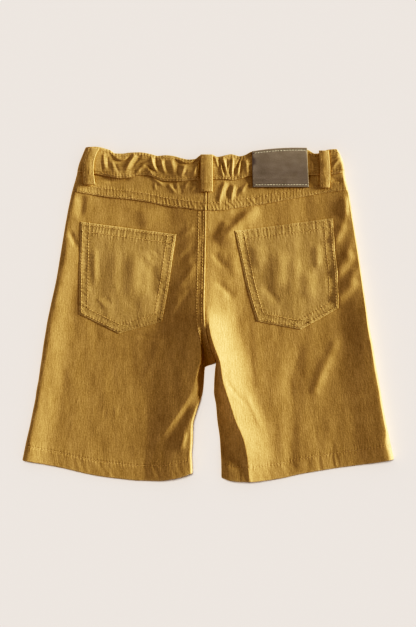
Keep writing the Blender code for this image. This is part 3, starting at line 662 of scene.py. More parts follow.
def back_height(side, x, y):
    """A back panel with its fine relief: ripples, a roped hem and seam puckers."""
    z = panel_height(side, snug(side, x, y), y)
    places, heights = knots(side, y)
    outer = np.abs(x - places[0])
    if side == "left":
        z = z + (brim(x, places, heights, z) - z) * ease((-72 - y) / 15)
    hip = ease((y + HIP_LOW[side]) / 45) * ease((112 - y) / 22) * ease((42 - outer) / 15)
    z = z - HIP_DROP[side] * hip * np.maximum(z - HIP_LEVEL, 0)
    if side == "right":
        z = z - LEG_DROP * ease((x - 52) / 62) * ease((-y - 5) / 60)
        z = z - SEAT_DROP * ease((30 - x) / 26) * ease((y + 20) / 25) * ease((98 - y) / 20)
    z = z + (drape(x, y) + creases(SEAT_CREASES, x, y)) * ease((outer - 1) / 5)
    up = y - line(HEM, x)
    band = ease((HEM_DEPTH - up) / 2.5)
    rope = wave((x + 0.3 * up) / 8.5 + 0.9 * mottle(x, y, 30, 30, 8))
    rope = rope * (0.6 + 0.4 * mottle(x, y, 22, 40, 9)) * ROPE[side]
    if side == "right":
        z = hem_corner(x, up, z)
    z = z + rope * band * ease(up / 2) + HEM_LIFT * band
    away = up - HEM_DEPTH
    z = z - STITCH_DIP * np.exp(-(away**2)) + 0.05 * wave(x / 4.5) * np.exp(-((away / 4) ** 2))
    below = line(YOKE_SEAM, x) - y
    return z + 0.06 * wave(x / 5.2) * np.exp(-((below / 5) ** 2))


def yoke_relief(x, y):
    """The yokes with fine folds and the puckers between their two rows of stitches."""
    up = y - line(YOKE_SEAM, x)
    lap = ease(up / 1.2) * ease((10 - up) / 3)
    pucker = wave((x + 0.5 * up) / 4.6 + 0.8 * mottle(x, y, 14, 20, 11))
    size = 0.05 + 0.08 * ease((x + 90) / 50) * (1 - ease((x - 40) / 50))
    z = yoke_height(x, y) + creases(YOKE_CREASES, x, y)
    z = z + (size * pucker + 0.08 * mottle(x, y, 4, 5, 12)) * lap
    z = z + 0.15 * ease((10 - up) / 2.5)
    return z + 0.5 * drape(x, y) * ease((up - 9) / 3)


def band_relief(x, y):
    """The waistband with fine puckers by its two rows of stitches."""
    down = line(BAND_TOP, x) - y
    up = y - line(BAND_LOW, x)
    within = np.clip(down, 0, 30)
    share = np.clip(within / (within + np.clip(up, 0, 30) + 1e-6), 0, 1)
    z = lie(x, y, BAND_FRONT) + BAND_LAP + BAND_BULGE * np.sin(np.pi * share)
    fine = creases(BAND_CREASES, x, y) + creases(BAND_STEPS, x, y, step=True)
    first, last = band_ends(y)
    outer = np.minimum(np.abs(x - first), np.abs(x - last))
    middle = 1 - ease((np.abs(x - 0.5) - 97) / 15)
    z = z + fine * ease((outer - 1) / 4) + 0.3 * mottle(x, y, 6, 12, 14) * middle
    z = z + 0.12 * wave(x / 2.9) * np.exp(-((down / 3) ** 2))
    return z + 0.12 * wave(x / 3.3) * np.exp(-((up / 3.5) ** 2))


def tucked(z, cover, inside, room=2.0):
    """Keeps a surface under the lower face of the thin border that laps over it.

    inside is how far a point is from that border's edge, below 0 under it.
    """
    return np.minimum(z, cover - LAP_WALL - 0.15 + 3 * ease(inside / room))


def thinned(wall, away):
    """A wall that thins towards a lapping border, from 5 to 3 mm off it."""
    return LAP_WALL + (wall - LAP_WALL) * ease((away - 3.0) / 2)


# ------------------------------------------------------------------- surfaces


def frame_of(place):
    """Unit normals of a grid of points, facing up: its two directions crossed."""
    along = np.gradient(place, axis=1)
    down = np.gradient(place, axis=0)
    normal = np.cross(along, down)
    length = np.linalg.norm(normal, axis=-1, keepdims=True)
    normal = normal / np.maximum(length, 1e-9)
    turn = np.sign(np.median(normal[..., 2]))
    return normal * turn, turn


def edge_lines(grid, reach):
    """The grid with two more lines close to each border, for its rounding.

    They lie at 0.13 and 0.5 of the reach, between a border and the next line.
    """
    for _ in range(2):
        ends = []
        for first, second in ((grid[:, 0], grid[:, 1]), (grid[:, -1], grid[:, -2])):
            step = np.linalg.norm(second[:, :3] - first[:, :3], axis=1)[:, None]
            shares = [np.minimum(s * reach / step, f) for s, f in ((0.13, 0.2), (0.5, 0.6))]
            ends.append([first + (second - first) * share for share in shares])
        (a, b), (d, c) = ends
        middle = [grid[:, :1], a[:, None], b[:, None], grid[:, 1:-1]]
        grid = np.concatenate(middle + [c[:, None], d[:, None], grid[:, -1:]], axis=1)
        grid = grid.transpose(1, 0, 2)
    return grid


def cloth(name, stands_for, x, y, z, wall, extra, flat_below=False):
    """A closed sheet of cloth with rounded borders, as a mesh in metres.

    The grid x, y, z is its upper surface. A middle surface lies half a wall
    below it, and the two faces stand off from that by a quarter round at the
    borders. extra maps an attribute's name to its value at each point, and
    stands_for is the solid whose place the sheet takes.
    """
    channels = [x, y, z, np.broadcast_to(wall, x.shape), *extra.values()]
    grid = edge_lines(np.stack(channels, axis=-1), float(np.min(wall)) / 2)
    place, wall = grid[..., :3], grid[..., 3]
    rows, columns = wall.shape
    normal, turn = frame_of(place)
    if flat_below:
        normal = np.zeros_like(normal) + (0, 0, 1)
    count = np.minimum(*np.meshgrid(
        np.minimum(np.arange(columns), np.arange(columns)[::-1]),
        np.minimum(np.arange(rows), np.arange(rows)[::-1]),
    ))
    rise = np.array(QUARTER_ROUND)[np.minimum(count, len(QUARTER_ROUND) - 1)]
    half = (wall / 2)[..., None]
    middle = place - normal * half
    off = normal * half * rise[..., None]
    upper, lower = middle + off, middle - off
    index = np.arange(rows * columns).reshape(rows, columns)
    below = index.copy()
    inner = np.arange((rows - 2) * (columns - 2)).reshape(rows - 2, columns - 2)
    below[1:-1, 1:-1] = rows * columns + inner
    points = np.concatenate([upper.reshape(-1, 3), lower[1:-1, 1:-1].reshape(-1, 3)])
    faces = np.concatenate([quads(index), quads(below)[:, ::-1]])
    if turn < 0:
        faces = faces[:, ::-1]
    values = {
        key: np.concatenate([grid[..., k].ravel(), grid[1:-1, 1:-1, k].ravel()])
        for k, key in enumerate(extra, start=4)
    }
    piece = built(name, points, faces, values)
    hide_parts(stands_for)
    return piece


def quads(index):
    """Corner numbers of a grid's cells."""
    corners = [index[:-1, :-1], index[:-1, 1:], index[1:, 1:], index[1:, :-1]]
    return np.stack(corners, axis=-1).reshape(-1, 4)


def built(name, points, faces, values):
    """A mesh object from points in millimetres, quads and named point values."""
    mesh = bpy.data.meshes.new(name)
    mesh.vertices.add(len(points))
    moved = (points - (*MIDDLE, 0)) * MM
    mesh.vertices.foreach_set("co", moved.astype(np.float32).ravel())
    mesh.loops.add(faces.size)
    mesh.loops.foreach_set("vertex_index", faces.astype(np.int32).ravel())
    mesh.polygons.add(len(faces))
    mesh.polygons.foreach_set("loop_start", np.arange(0, faces.size, 4, dtype=np.int32))
    mesh.update(calc_edges=True)
    mesh.validate()
    mesh.polygons.foreach_set("use_smooth", np.ones(len(faces), bool))
    if "across" in values:
        layer = mesh.uv_layers.new(name="grain")
        pairs = np.stack([values.pop("across"), values.pop("along")], axis=-1) / 10
        layer.data.foreach_set("uv", pairs[faces.ravel()].astype(np.float32).ravel())
    for key, value in values.items():
        layer = mesh.attributes.new(key, "FLOAT", "POINT")
        layer.data.foreach_set("value", value.astype(np.float32))
    piece = bpy.data.objects.new(name, mesh)
    bpy.context.scene.collection.objects.link(piece)
    garment.objects.link(piece)
    return piece


# The centre seam's two rows of stitches, as distances from the folded edge, and
# the y where each ends
SEAM_ROWS = (3.2, 7.8)
SEAM_ENDS = (-38, -30)


def welt(x, y):
    """The rise of the left side's folded edge along the centre seam.

    A round lip falls to the edge, and the cloth between the two rows of
    stitches puckers in small uneven pillows.
    """
    away = seam_x(y) - x
    lip = (0.3 + 0.14 * mottle(x, y, 2.2, 2.2, 50)) * np.exp(-((away - 1.1) / 0.75) ** 2)
    lip = lip + 0.05 * ease((9.5 - away) / 3)
    between = ease(away / 1.5) * ease((9 - away) / 2.5)
    pucker = 0.10 * wave(y / 4.6 + 0.7 * mottle(x, y, 14, 14, 51))
    pucker = pucker + 0.13 * mottle(x, y, 3.2, 4.2, 52)
    return (lip + pucker * between) * ease((y + 34) / 12)


def seam_marks(x, y, rows, edge):
    """Values that the cloth's finish reads at each point.

    to_row is the distance to the nearest row of stitches, along_row the place
    along it, and worn is how pale the cloth is rubbed near its edge.
    """
    distance = [np.abs(away) for away, _ in rows]
    nearest = np.argmin(distance, axis=0)
    along = np.take_along_axis(np.stack([a for _, a in rows]), nearest[None], 0)[0]
    return {
        "to_row": np.min(distance, axis=0),
        "along_row": along,
        "worn": np.exp(-((edge / 1.4) ** 2)),
    }


def grain(side, x, y):
    """Weave coordinates of a leg panel, whose lengthwise yarns fan out to the hem."""
    down = 110 - y
    if side == "left":
        top = (x + 0.009 * down) / (1 + 0.0009 * down)
    else:
        top = (x - 0.042 * down) / (1 + 0.00101 * down)
    return {"across": top * (1 + 0.0009 * 130), "along": y}


def turned_grain(x, y, degrees, key):
    """Weave coordinates turned by an angle, and moved so that no two pieces match."""
    c, s = math.cos(math.radians(degrees)), math.sin(math.radians(degrees))
    return {"across": x * c + y * s + 431 * key, "along": y * c - x * s + 173 * key}


# --------------------------------------------------------------------- pieces

# How far a panel sinks under its pocket, a pocket's rise over the cloth beside
# it, and the walls of a pocket and the borders that lap over others, of a belt
# loop and of the patch
BED = 0.7
POCKET_UP = 0.35
LAP_WALL = 0.55
LOOP_CLOTH = 1.0
HIDE_WALL = 0.9

# Rows of stitches, as distances from an edge: over the yoke's lower edge, under
# and over the waistband's edges, round a pocket, under its top and on a loop
# (as a share of its half width)
YOKE_ROWS = (1.8, 8.2)
BAND_ROWS = (2.6, 2.4)
POCKET_ROWS = (2.4, 8.8)
TOP_ROWS = (2.6, 9.4)
LOOP_FOLD = 0.62

# Rough sizes of a belt loop and of the patch, for the wear at their edges, and
# a distance at which a row has no effect
LOOP_HALF, LOOP_LONG = 6, 37
PATCH_HALF, PATCH_TALL = 28, 38
FAR = 9

# How far the faces stand off at the first points in from a border
QUARTER_ROUND = (0, 0.5, 0.87, 1)


def spread(parts, roll=14):
    """Knot counts of fine columns: a foot, the rolled edge by equal angles, spans."""
    u = [0.0] * 4 + [1 - math.cos(math.radians(90 * k / roll)) for k in range(1, roll)]
    for k, number in enumerate(parts, start=1):
        u += [k + i / number for i in range(number)]
    u.append(len(parts) + 1.0)
    return np.array(u)


def lowered_foot(z):
    """Drops the first columns in steps, so that the rolled edge ends upright."""
    for column, share in enumerate((1, 0.7, 0.35)):
        z[:, column] -= FOOT * share
    return z


def joined(*runs):
    """Even runs of numbers, each from, to and count, that share their ends."""
    parts = [np.linspace(*run) for run in runs]
    return np.concatenate([parts[0]] + [part[1:] for part in parts[1:]])


def hem_wall(up):
    """The wall of a leg panel at a height over its hem, where it is doubled."""
    return CLOTH + (HEM_WALL - CLOTH) * ease((HEM_DEPTH + 0.5 - up) / 1.5)


def run_under(x, y):
    """Moves a right piece's inner edge a little way under the left piece's."""
    for column, far in ((-1, 2.2), (-2, 0.6)):
        x[:, column] -= far * ease((y[:, column] + 26) / 10)


def at_seam(side, x, y, z, left_z):
    """A left piece with its welt on the centre seam, or a right piece kept under it."""
    if side == "left":
        return z + welt(x, y)
    lapped = tucked(z, left_z + welt(x, y), x - seam_x(y), 1.2)
    return np.where((x < seam_x(y) + 1.5) & (y > -30), lapped, z)


def leg_back(side):
    """A back leg panel, from under the yoke to the roped hem.

    The right panel's edge runs on a little way under the left one's.
    """
    rows = joined((0, 0.012, 5), (0.012, 0.93, 176), (0.93, 1, 26))
    u, v = np.meshgrid(spread((16, 52, 34, 18, 14, 10)), rows)
    x, y = settle(side, u, v, shifted(YOKE_SEAM, 2.0), HEM)
    if side == "right":
        run_under(x, y)
    z = lowered_foot(back_height(side, x, y) - bed(side, x, y))
    z = at_seam(side, x, y, z, back_height("left", x, y))
    up, below, beside = y - line(HEM, x), line(YOKE_SEAM, x) - y, seam_x(y) - x
    z = np.where(below < 2.5, tucked(z, yoke_relief(x, y), below), z)
    lap = np.where(y > -34, np.abs(beside), 9)
    wall = np.minimum(hem_wall(up), thinned(CLOTH, lap))
    rows = [(up - HEM_DEPTH, x)]
    inner = np.where(y > -30, 9, np.abs(x - knots(side, y)[0][-1]))
    edge = np.minimum(np.minimum(up, below + 3), inner)
    if side == "left":
        rows += [(np.where(y > -40, beside, 99) - away, y) for away in SEAM_ROWS]
        edge = np.minimum(edge, np.where(y > -30, beside, 9))
    extra = seam_marks(x, y, rows, edge) | grain(side, x, y)
    return cloth("denim_back_" + side, "back_" + side, x, y, z, wall, extra)


def yoke(side):
    """A back yoke, lapped over the leg panel with two rows of stitches."""
    rows = joined((0, 0.12, 8), (0.12, 1, 38))
    u, v = np.meshgrid(spread((18, 62, 70, 5, 5, 4), 10), rows)
    x, y = settle(side, u, v, shifted(BAND_LOW, 2.0), YOKE_SEAM)
    if side == "right":
        run_under(x, y)
    z = yoke_relief(x, y)
    z = at_seam(side, x, y, z, z)
    up, below, beside = y - line(YOKE_SEAM, x), line(BAND_LOW, x) - y, seam_x(y) - x
    z = lowered_foot(np.where(below < 2.5, tucked(z, band_relief(x, y), below), z))
    wall = thinned(CLOTH, np.minimum(up, np.abs(beside)))
    edge = np.minimum(up, beside) if side == "left" else up
    marks = seam_marks(x, y, [(up - row, x) for row in YOKE_ROWS], edge)
    extra = marks | turned_grain(x, y, 4 if side == "left" else -6, 1)
    return cloth("denim_yoke_" + side, "yoke_" + side, x, y, z, wall, extra)


def band_marks(x, y, down, up, key):
    """Marks and grain of a waistband, from the distances to its two long edges."""
    rows = [(down - BAND_ROWS[0], x), (up - BAND_ROWS[1], x)]
    return seam_marks(x, y, rows, np.minimum(down, up)) | turned_grain(x, y, 90, key)


def waistband():
    """The gathered back waistband."""
    roll = [1 - math.cos(math.radians(9 * k)) for k in range(1, 10)]
    ends = [0.0] * 4 + [0.03 * e for e in roll]
    shares = ends + list(np.linspace(0.03, 0.97, 420)) + [1 - e for e in reversed(ends)]
    s, t = np.meshgrid(np.array(shares), np.linspace(0, 1, 44))
    y = 165 - 28 * t
    for _ in range(PASSES):
        first, last = band_ends(y)
        x = first + (last - first) * s
        y = line(BAND_TOP, x) * (1 - t) + line(BAND_LOW, x) * t
    z = lowered_foot(band_relief(x, y))
    z = lowered_foot(z[:, ::-1])[:, ::-1]
    down, up = line(BAND_TOP, x) - y, y - line(BAND_LOW, x)
    extra = band_marks(x, y, down, up, 2)
    names = "denim_waistband_back", "waistband_back"
    return cloth(*names, x, y, z, thinned(BAND_WALL, up), extra)


def pocket_place(side, p, q):
    """Place on a pocket: p is the share across it, q the share down it."""
    columns = np.array(POCKETS[side], float).T
    down = np.linspace(0, 1, len(POCKETS[side]))
    left_x, left_y, right_x, right_y, hang = [smooth_line(q, down, column) for column in columns]
    tip = POCKET_TIP[side]
    tent = np.minimum(p / tip, (1 - p) / (1 - tip))
    x = left_x + (right_x - left_x) * p
    return x, left_y + (right_y - left_y) * p - hang * tent


def beside_line(x, y, a, b):
    """Distance to the left of the line from a to b, and the place along it."""
    dx, dy = b[0] - a[0], b[1] - a[1]
    size = math.hypot(dx, dy)
    along = ((x - a[0]) * dx + (y - a[1]) * dy) / size
    return ((y - a[1]) * dx - (x - a[0]) * dy) / size, along


def inset(a, b, gap, share):
    """Places at shares of the line from a to b, moved to its left by a gap."""
    dx, dy = b[0] - a[0], b[1] - a[1]
    size = math.hypot(dx, dy)
    return a[0] + dx * share - dy / size * gap, a[1] + dy * share + dx / size * gap


def pocket_corners(side):
    """The pocket's corners: top left, top right, low right, tip, low left."""
    shares = [(0, 0), (1, 0), (1, 1), (POCKET_TIP[side], 1), (0, 1)]
    return [
        tuple(float(c) for c in pocket_place(side, np.array(p * 1.0), np.array(q * 1.0)))
        for p, q in shares
    ]


def pocket_side(side, p, count):
    """Points down a pocket's left or right side, where p is 0 or 1."""
    return pocket_place(side, np.full(count, p), np.linspace(0, 1, count))


def pocket_edges(side, x, y):
    """Distances from a pocket's sides, bottom edges and top, and places along them.

    The sides are curved, so each is its own run of rows and not a straight line.
    """
    found = []
    for p in (0.0, 1.0):
        px, py = pocket_side(side, p, 60)
        order = np.argsort(py)
        edge_x = np.interp(y, py[order], px[order])
        lean = np.interp(y, py[order], np.gradient(px, py)[order])
        found.append((np.abs(x - edge_x) / np.sqrt(1 + lean**2), y))
    top_left, top_right, low_right, tip, low_left = pocket_corners(side)
    for a, b in ((low_left, tip), (tip, low_right), (top_left, top_right)):
        away, along = beside_line(x, y, a, b)
        found.append((np.abs(away), along))
    return found


def nearest(edges):
    """Distance from the nearest of some edges."""
    return np.min([away for away, _ in edges], axis=0)


def pocket(side):
    """A patch pocket with a double row round it and a stitched top hem."""
    tip = POCKET_TIP[side]
    p, q = np.meshgrid(joined((0, tip, 58), (tip, 1, 58)), np.linspace(0, 1, 116))
    x, y = pocket_place(side, p, q)
    edges = pocket_edges(side, x, y)
    *around, (top, top_along) = edges
    z = pocket_height(side, x, y, edges)
    rows = [(away - gap, along) for away, along in around for gap in POCKET_ROWS]
    rows += [(top - gap, top_along) for gap in TOP_ROWS]
    marks = seam_marks(x, y, rows, nearest(edges))
    extra = marks | turned_grain(x, y, -5 if side == "left" else 6, 3)
    return cloth("denim_pocket_" + side, "pocket_" + side, x, y, z, LAP_WALL, extra)


def pocket_height(side, x, y, edges):
    """Upper surface of a pocket: soft folds, and puckers between its rows of stitches."""
    *around, (top, top_along) = edges
    edge, sides = nearest(edges), nearest(around)
    z = creases(POCKET_CREASES[side], x, y) * ease(edge / 4)
    z = z + 0.12 * ease((edge - 9) / 4) + 0.2 * ease(edge / 2)
    lap = ease(sides / 1.5) * ease((10 - sides) / 3)
    bumps = wave((x * 0.35 + y) / 5.4 + 0.8 * mottle(x, y, 13, 13, 21))
    z = z + 0.09 * (bumps + mottle(x, y, 4, 4, 22)) * lap
    lap = ease(top / 1.5) * ease((11 - top) / 3)
    z = z + 0.08 * wave(top_along / 4.6 + 0.8 * mottle(x, y, 14, 20, 23)) * lap
    return back_height(side, x, y) + POCKET_UP + z


def bed(side, x, y):
    """How far the panel sinks under its pocket, within the pocket's border."""
    left_x, left_y = pocket_side(side, 0.0, 40)
    right_x, right_y = pocket_side(side, 1.0, 40)
    inside = np.minimum(
        x - np.interp(y, left_y[::-1], left_x[::-1]),
        np.interp(y, right_y[::-1], right_x[::-1]) - x,
    )
    top_left, top_right, low_right, tip, low_left = pocket_corners(side)
    for a, b in ((top_right, top_left), (low_left, tip), (tip, low_right)):
        inside = np.minimum(inside, beside_line(x, y, a, b)[0])
    return BED * ease((inside - 0.2) / 1.8)


def strip_place(table, across, down):
    """Places on a loop or the patch: across runs -1 to 1, down 0 to 1."""
    y_at, x_at, half = np.array(table, float).T
    y = y_at[0] + (y_at[-1] - y_at[0]) * down
    middle = smooth_line(-y, -y_at, x_at)
    width = smooth_line(-y, -y_at, half)
    return middle + width * across, y, middle, width


def loop_height(table, across, down):
    """Upper surface of a belt loop: level across, over the highest of what's under."""
    x, y, middle, width = strip_place(table, across, down)
    tries = [cover_height(middle + width * s, y) for s in np.linspace(-1, 1, 9)]
    under = np.max(tries, axis=0)
    for _ in range(12):
        above = np.concatenate([under[:1], under[:-1]])
        below = np.concatenate([under[1:], under[-1:]])
        under = np.maximum(under, (above + under + below) / 3)
    z = under + GAP + LOOP_CLOTH + 0.5 * (1 - across**2)
    z = z - 0.12 * np.exp(-(((np.abs(across) - LOOP_FOLD) / 0.12) ** 2))
    z = z + 0.14 * mottle(x, y, 3.2, 7, 31)
    return x, y, z


def belt_loop(name, table):
    """A belt loop, folded lengthwise, with a row of stitches near each side."""
    across, down = np.meshgrid(np.linspace(-1, 1, 27), np.linspace(0, 1, 64))
    x, y, z = loop_height(table, across, down)
    edge = np.minimum(LOOP_HALF * (1 - np.abs(across)), np.minimum(down, 1 - down) * LOOP_LONG)
    extra = seam_marks(x, y, [(x * 0 + FAR, y)], edge) | turned_grain(x, y, 0, 5)
    return cloth("denim_" + name, name, x, y, z, LOOP_CLOTH, extra)


def patch_height(x, y):
    """Upper surface of the patch, stiff enough to bridge the step under it."""
    steps = [cover_height(x, y + s) for s in (-3, -1.5, 0, 1.5, 3)]
    slight = 0.12 * mottle(x, y, 16, 12, 41) + 0.25 * np.sin((x - 44) / 56 * np.pi)
    return np.maximum(np.mean(steps, axis=0), steps[2]) + GAP + HIDE_WALL + slight


def patch_place(across, down):
    """Places on the patch, whose upper edge bows and rises to the right."""
    x, y, _, _ = strip_place(PATCH, across, down)
    lift = 1.4 * (1 - across**2) + 0.7 * (1 + across) - 1.0 * (1 - across)
    return x, y + lift * (1 - down)


def hide_patch():
    """The bare brown patch."""
    across, down = np.meshgrid(np.linspace(-1, 1, 80), np.linspace(0, 1, 56))
    x, y = patch_place(across, down)
    level = np.minimum(down, 1 - down) * PATCH_TALL
    edge = np.minimum((1 - np.abs(across)) * PATCH_HALF, level)
    extra = seam_marks(x, y, [(level - 2.6, x)], edge) | turned_grain(x, y, 0, 7)
    return cloth("hide_patch", "patch", x, y, patch_height(x, y), HIDE_WALL, extra)


def leg_front(side):
    """A front leg panel, flat on the table, with its folded hem."""
    u, v = np.meshgrid(np.linspace(0, 1, 60), np.linspace(0, 1, 110))
    turn = TURN[side]
    y = FRONT_SEAM - 300 * v
    hem = shifted(HEM, 0.4)
    for _ in range(PASSES):
        places = knots(side, y)[0]
        outer, inner = places[0] + turn * 0.2, places[-1] - turn * 0.4
        x = outer + (inner - outer) * u
        y = (FRONT_SEAM - GAP) * (1 - v) + line(hem, x) * v
    up = y - line(HEM, x)
    z = hem_wall(up)
    extra = seam_marks(x, y, [(up - HEM_DEPTH, x)], up) | grain(side, x, y)
    return cloth("denim_front_" + side, "front_" + side, x, y, z, z, extra, flat_below=True)


def front_band():
    """The front part of the waistband, under the back one."""
    s, t = np.meshgrid(np.linspace(0, 1, 150), np.linspace(0, 1, 16))
    y = 163 - 26 * t
    for _ in range(PASSES):
        first, last = band_ends(y)
        x = first + 0.2 + (last - first - 0.4) * s
        y = (line(BAND_TOP, x) - 1.5) * (1 - t) + FRONT_SEAM * t
    z = x * 0 + BAND_FRONT
    extra = band_marks(x, y, line(BAND_TOP, x) - 1.5 - y, y - FRONT_SEAM, 8)
    names = "denim_waistband_front", "waistband_front"
    return cloth(*names, x, y, z, BAND_FRONT, extra, flat_below=True)


# -------------------------------------------------------------------- stitches


# A stitch along its length: place from -1 to 1, half width, half depth and
# lift in millimetres, and how far it is down its needle hole, which sets the
# painted shade of that ring.
STITCH = [
    (-1.0, 0.34, 0.10, 0.0, 1.0),
    (-0.78, 0.34, 0.12, 0.0, 0.9),
    (-0.62, 0.30, 0.22, 0.04, 0.1),
    (0.0, 0.38, 0.30, 0.10, 0.0),
    (0.62, 0.30, 0.22, 0.04, 0.1),
    (0.78, 0.34, 0.12, 0.0, 0.9),
    (1.0, 0.34, 0.10, 0.0, 1.0),
]


# How far apart stitches lie along a row, and their size against the table above
PITCH, THREAD = 2.9, 0.8
LOOP_THREAD = 0.5
BAR_PITCH, BAR_THREAD = 1.5, 0.6
CREAM_PITCH, CREAM_THREAD = 2.8, 1.0


def stitches(name, rows, pitch, size, seed):
    """Rows of stitches as one mesh of small threads.

    Each row is a line of points with the height of the cloth under it. A thread
    is a six-sided tube along the row, with oval rings from the table: it stands
    proud in its middle and goes down a needle hole at each end, where its colour
    is darkened as painted shade. Each has a slight chance turn of its own.
    """
    t, wide, deep, lift, hole_shade = np.array(STITCH).T
    rings, sides = len(t), 6
    source = np.random.default_rng(seed)
    points, faces, hole_shades, first = [], [], [], 0
    for path in rows:
        steps = np.linalg.norm(np.diff(path, axis=0), axis=1)
        run = np.concatenate([[0], np.cumsum(steps)])
        count = int(run[-1] / pitch)
        if count < 1:
            continue
        step = run[-1] / count
        at = (np.arange(count) + 0.5)[:, None] * step + t * step / 2
        spine = np.stack([np.interp(at, run, path[:, k]) for k in range(3)], axis=-1)
        way = spine[:, -1] - spine[:, 0]
        way = way / np.linalg.norm(way, axis=1, keepdims=True)
        side_way = np.cross([0, 0, 1], way)
        side_way = side_way / np.linalg.norm(side_way, axis=1, keepdims=True)
        up_way = np.cross(way, side_way)
        drift = source.normal(0, 0.12, count)[:, None] * t * (np.abs(t) < 0.7)
        turn = np.arange(sides) * 2 * np.pi / sides
        body = spine[:, :, None] + size * (
            (wide[:, None] * np.cos(turn) + drift[..., None])[..., None] * side_way[:, None, None]
            + (deep[:, None] * np.sin(turn) + lift[:, None])[..., None] * up_way[:, None, None]
        )
        points.append(body.reshape(-1, 3))
        # Painted shade: how dark each thread's end rings are, where they go down a needle hole
        sunk = hole_shade * source.uniform(0.25, 1.0, count)[:, None]
        hole_shades.append(sunk[..., None].repeat(sides, axis=2).ravel())
        index = first + np.arange(count * rings * sides).reshape(count, rings, sides)
        wrapped = np.concatenate([index, index[:, :, :1]], axis=2)
        corners = [wrapped[:, :-1], wrapped[:, 1:]]
        corners = [corners[0][..., :-1], corners[0][..., 1:], corners[1][..., 1:], corners[1][..., :-1]]
        faces.append(np.stack(corners, axis=-1).reshape(-1, 4))
        for end, order in ((0, [0, 5, 4, 3]), (0, [0, 3, 2, 1]), (-1, [0, 1, 2, 3]), (-1, [0, 3, 4, 5])):
            faces.append(index[:, end][:, order])
        first += count * rings * sides
    values = {"hole_shade": np.concatenate(hole_shades)}
    return built(name, np.concatenate(points), np.concatenate(faces), values)


def across_line(table, x_from, x_to, above, height, *sides):
    """A row above a line across the back, on the surface that height gives."""
    x = np.linspace(x_from, x_to, int(abs(x_to - x_from) / 0.8) + 2)
    y = line(table, x) + above
    return np.stack([x, y, height(*sides, x, y)], axis=-1)


def spans(table, above, height, cuts):
    """Rows across the back in stretches, as from and to places along x."""
    return [across_line(table, a, b, above, height) for a, b in cuts]


def pocket_rows(side):
    """A pocket's rows: two round its sides and bottom, two along its top."""
    top_left, top_right, low_right, tip, low_left = pocket_corners(side)
    found = []
    for gap in POCKET_ROWS:
        sides = []
        for p, way in ((0.0, 1), (1.0, -1)):
            x, y = pocket_side(side, p, 50)
            lean = np.gradient(x, y)
            size = np.sqrt(1 + lean**2)
            sides.append((x + way * gap / size, y - way * gap * lean / size))
        share = np.linspace(0, 1, 40)
        bottom = [inset(low_left, tip, gap, share), inset(tip, low_right, gap, share)]
        for x, y in (sides[0], *bottom, sides[1]):
            *around, (top, _) = pocket_edges(side, x, y)
            inside = (nearest(around) > gap - 0.35) & (top > 0.8)
            if inside.sum() > 3:
                found.append((x[inside], y[inside]))
    size = math.dist(top_left, top_right)
    for gap in TOP_ROWS:
        share = np.linspace(2.5 / size, 1 - 2.5 / size, 100)
        found.append(inset(top_left, top_right, -gap, share))
    return [
        np.stack([x, y, pocket_height(side, x, y, pocket_edges(side, x, y))], axis=-1)
        for x, y in found
    ]


def loop_rows(table):
    """A belt loop's two rows."""
    down = np.linspace(0.04, 0.96, 60)
    return [
        np.stack(loop_height(table, np.full(60, share), down), axis=-1)
        for share in (-LOOP_FOLD, LOOP_FOLD)
    ]


def bar_rows(table):
    """The dense bar of short threads that holds a belt loop's foot."""
    rows = []
    for foot in (0.93, 0.955, 0.98):
        near = [foot - 0.02, foot, foot + 0.015]
        across, down = np.meshgrid(np.linspace(-0.85, 0.85, 30), near)
        rows.append(np.stack([c[1] for c in loop_height(table, across, down)], axis=-1))
    return rows


def patch_rows():
    """The patch's rows, along its upper and lower edges."""
    rows = []
    for down in (0.07, 0.935):
        x, y = patch_place(np.linspace(-0.93, 0.93, 90), np.full(90, down))
        rows.append(np.stack([x, y, patch_height(x, y)], axis=-1))
    return rows


def seam_rows():
    """The centre seam's two rows, on the left panel."""
    rows = []
    for away, low in zip(SEAM_ROWS, SEAM_ENDS):
        y = np.linspace(103, low, 160)
        x = seam_x(y) - away
        rows.append(np.stack([x, y, back_height("left", x, y) + welt(x, y)], axis=-1))
    return rows


# -------------------------------------------------------------------- finishes


def node(tree, kind, **sockets):
    """A shader node with its inputs set by name, or linked where given a socket."""
    made = tree.nodes.new(kind)
    for key, value in sockets.items():
        target = made.inputs[int(key[1:])] if key[0] == "_" else made.inputs[key.replace("_", " ")]
        if isinstance(value, bpy.types.NodeSocket):
            tree.links.new(value, target)
        else:
            target.default_value = value
    return made


def sums(tree, operation, a, b=0.0, c=0.0):
    """One step of arithmetic."""
    made = node(tree, "ShaderNodeMath", _0=a, _1=b, _2=c)
    made.operation = operation
    return made.outputs[0]


def total(tree, parts):
    """The sum of some values, each times its amount."""
    found = 0.0
    for value, amount in parts:
        found = sums(tree, "MULTIPLY_ADD", value, amount, found)
    return found


def stretched(tree, coordinates, stretch):
    """Coordinates stretched by three factors."""
    made = node(tree, "ShaderNodeMapping", Vector=coordinates, Scale=stretch)
    return made.outputs[0]


def noise(tree, coordinates, stretch, detail=2.0, rough=0.5):
    """Chance values from 0 to 1, on stretched coordinates."""
    where = stretched(tree, coordinates, stretch)
    made = node(tree, "ShaderNodeTexNoise", Vector=where, Scale=1.0, Detail=detail, Roughness=rough)
    return made.outputs[0]


def blend(tree, share, low, high):
    """A colour between two colours."""
    made = tree.nodes.new("ShaderNodeMix")
    made.data_type = "RGBA"
    for name, value in ((0, share), (6, low), (7, high)):
        if isinstance(value, bpy.types.NodeSocket):
            tree.links.new(value, made.inputs[name])
        else:
            made.inputs[name].default_value = value if name == 0 else (*value, 1)
    return made.outputs[2]


def levels(tree, value, low, high, to_low=0.0, to_high=1.0):
    """A value carried from one range to another, held within it."""
    made = node(tree, "ShaderNodeMapRange", _0=value, _1=low, _2=high, _3=to_low, _4=to_high)
    return made.outputs[0]


def attribute(tree, name):
    """A value stored at the mesh's points."""
    made = tree.nodes.new("ShaderNodeAttribute")
    made.attribute_name = name
    return made.outputs["Fac"]


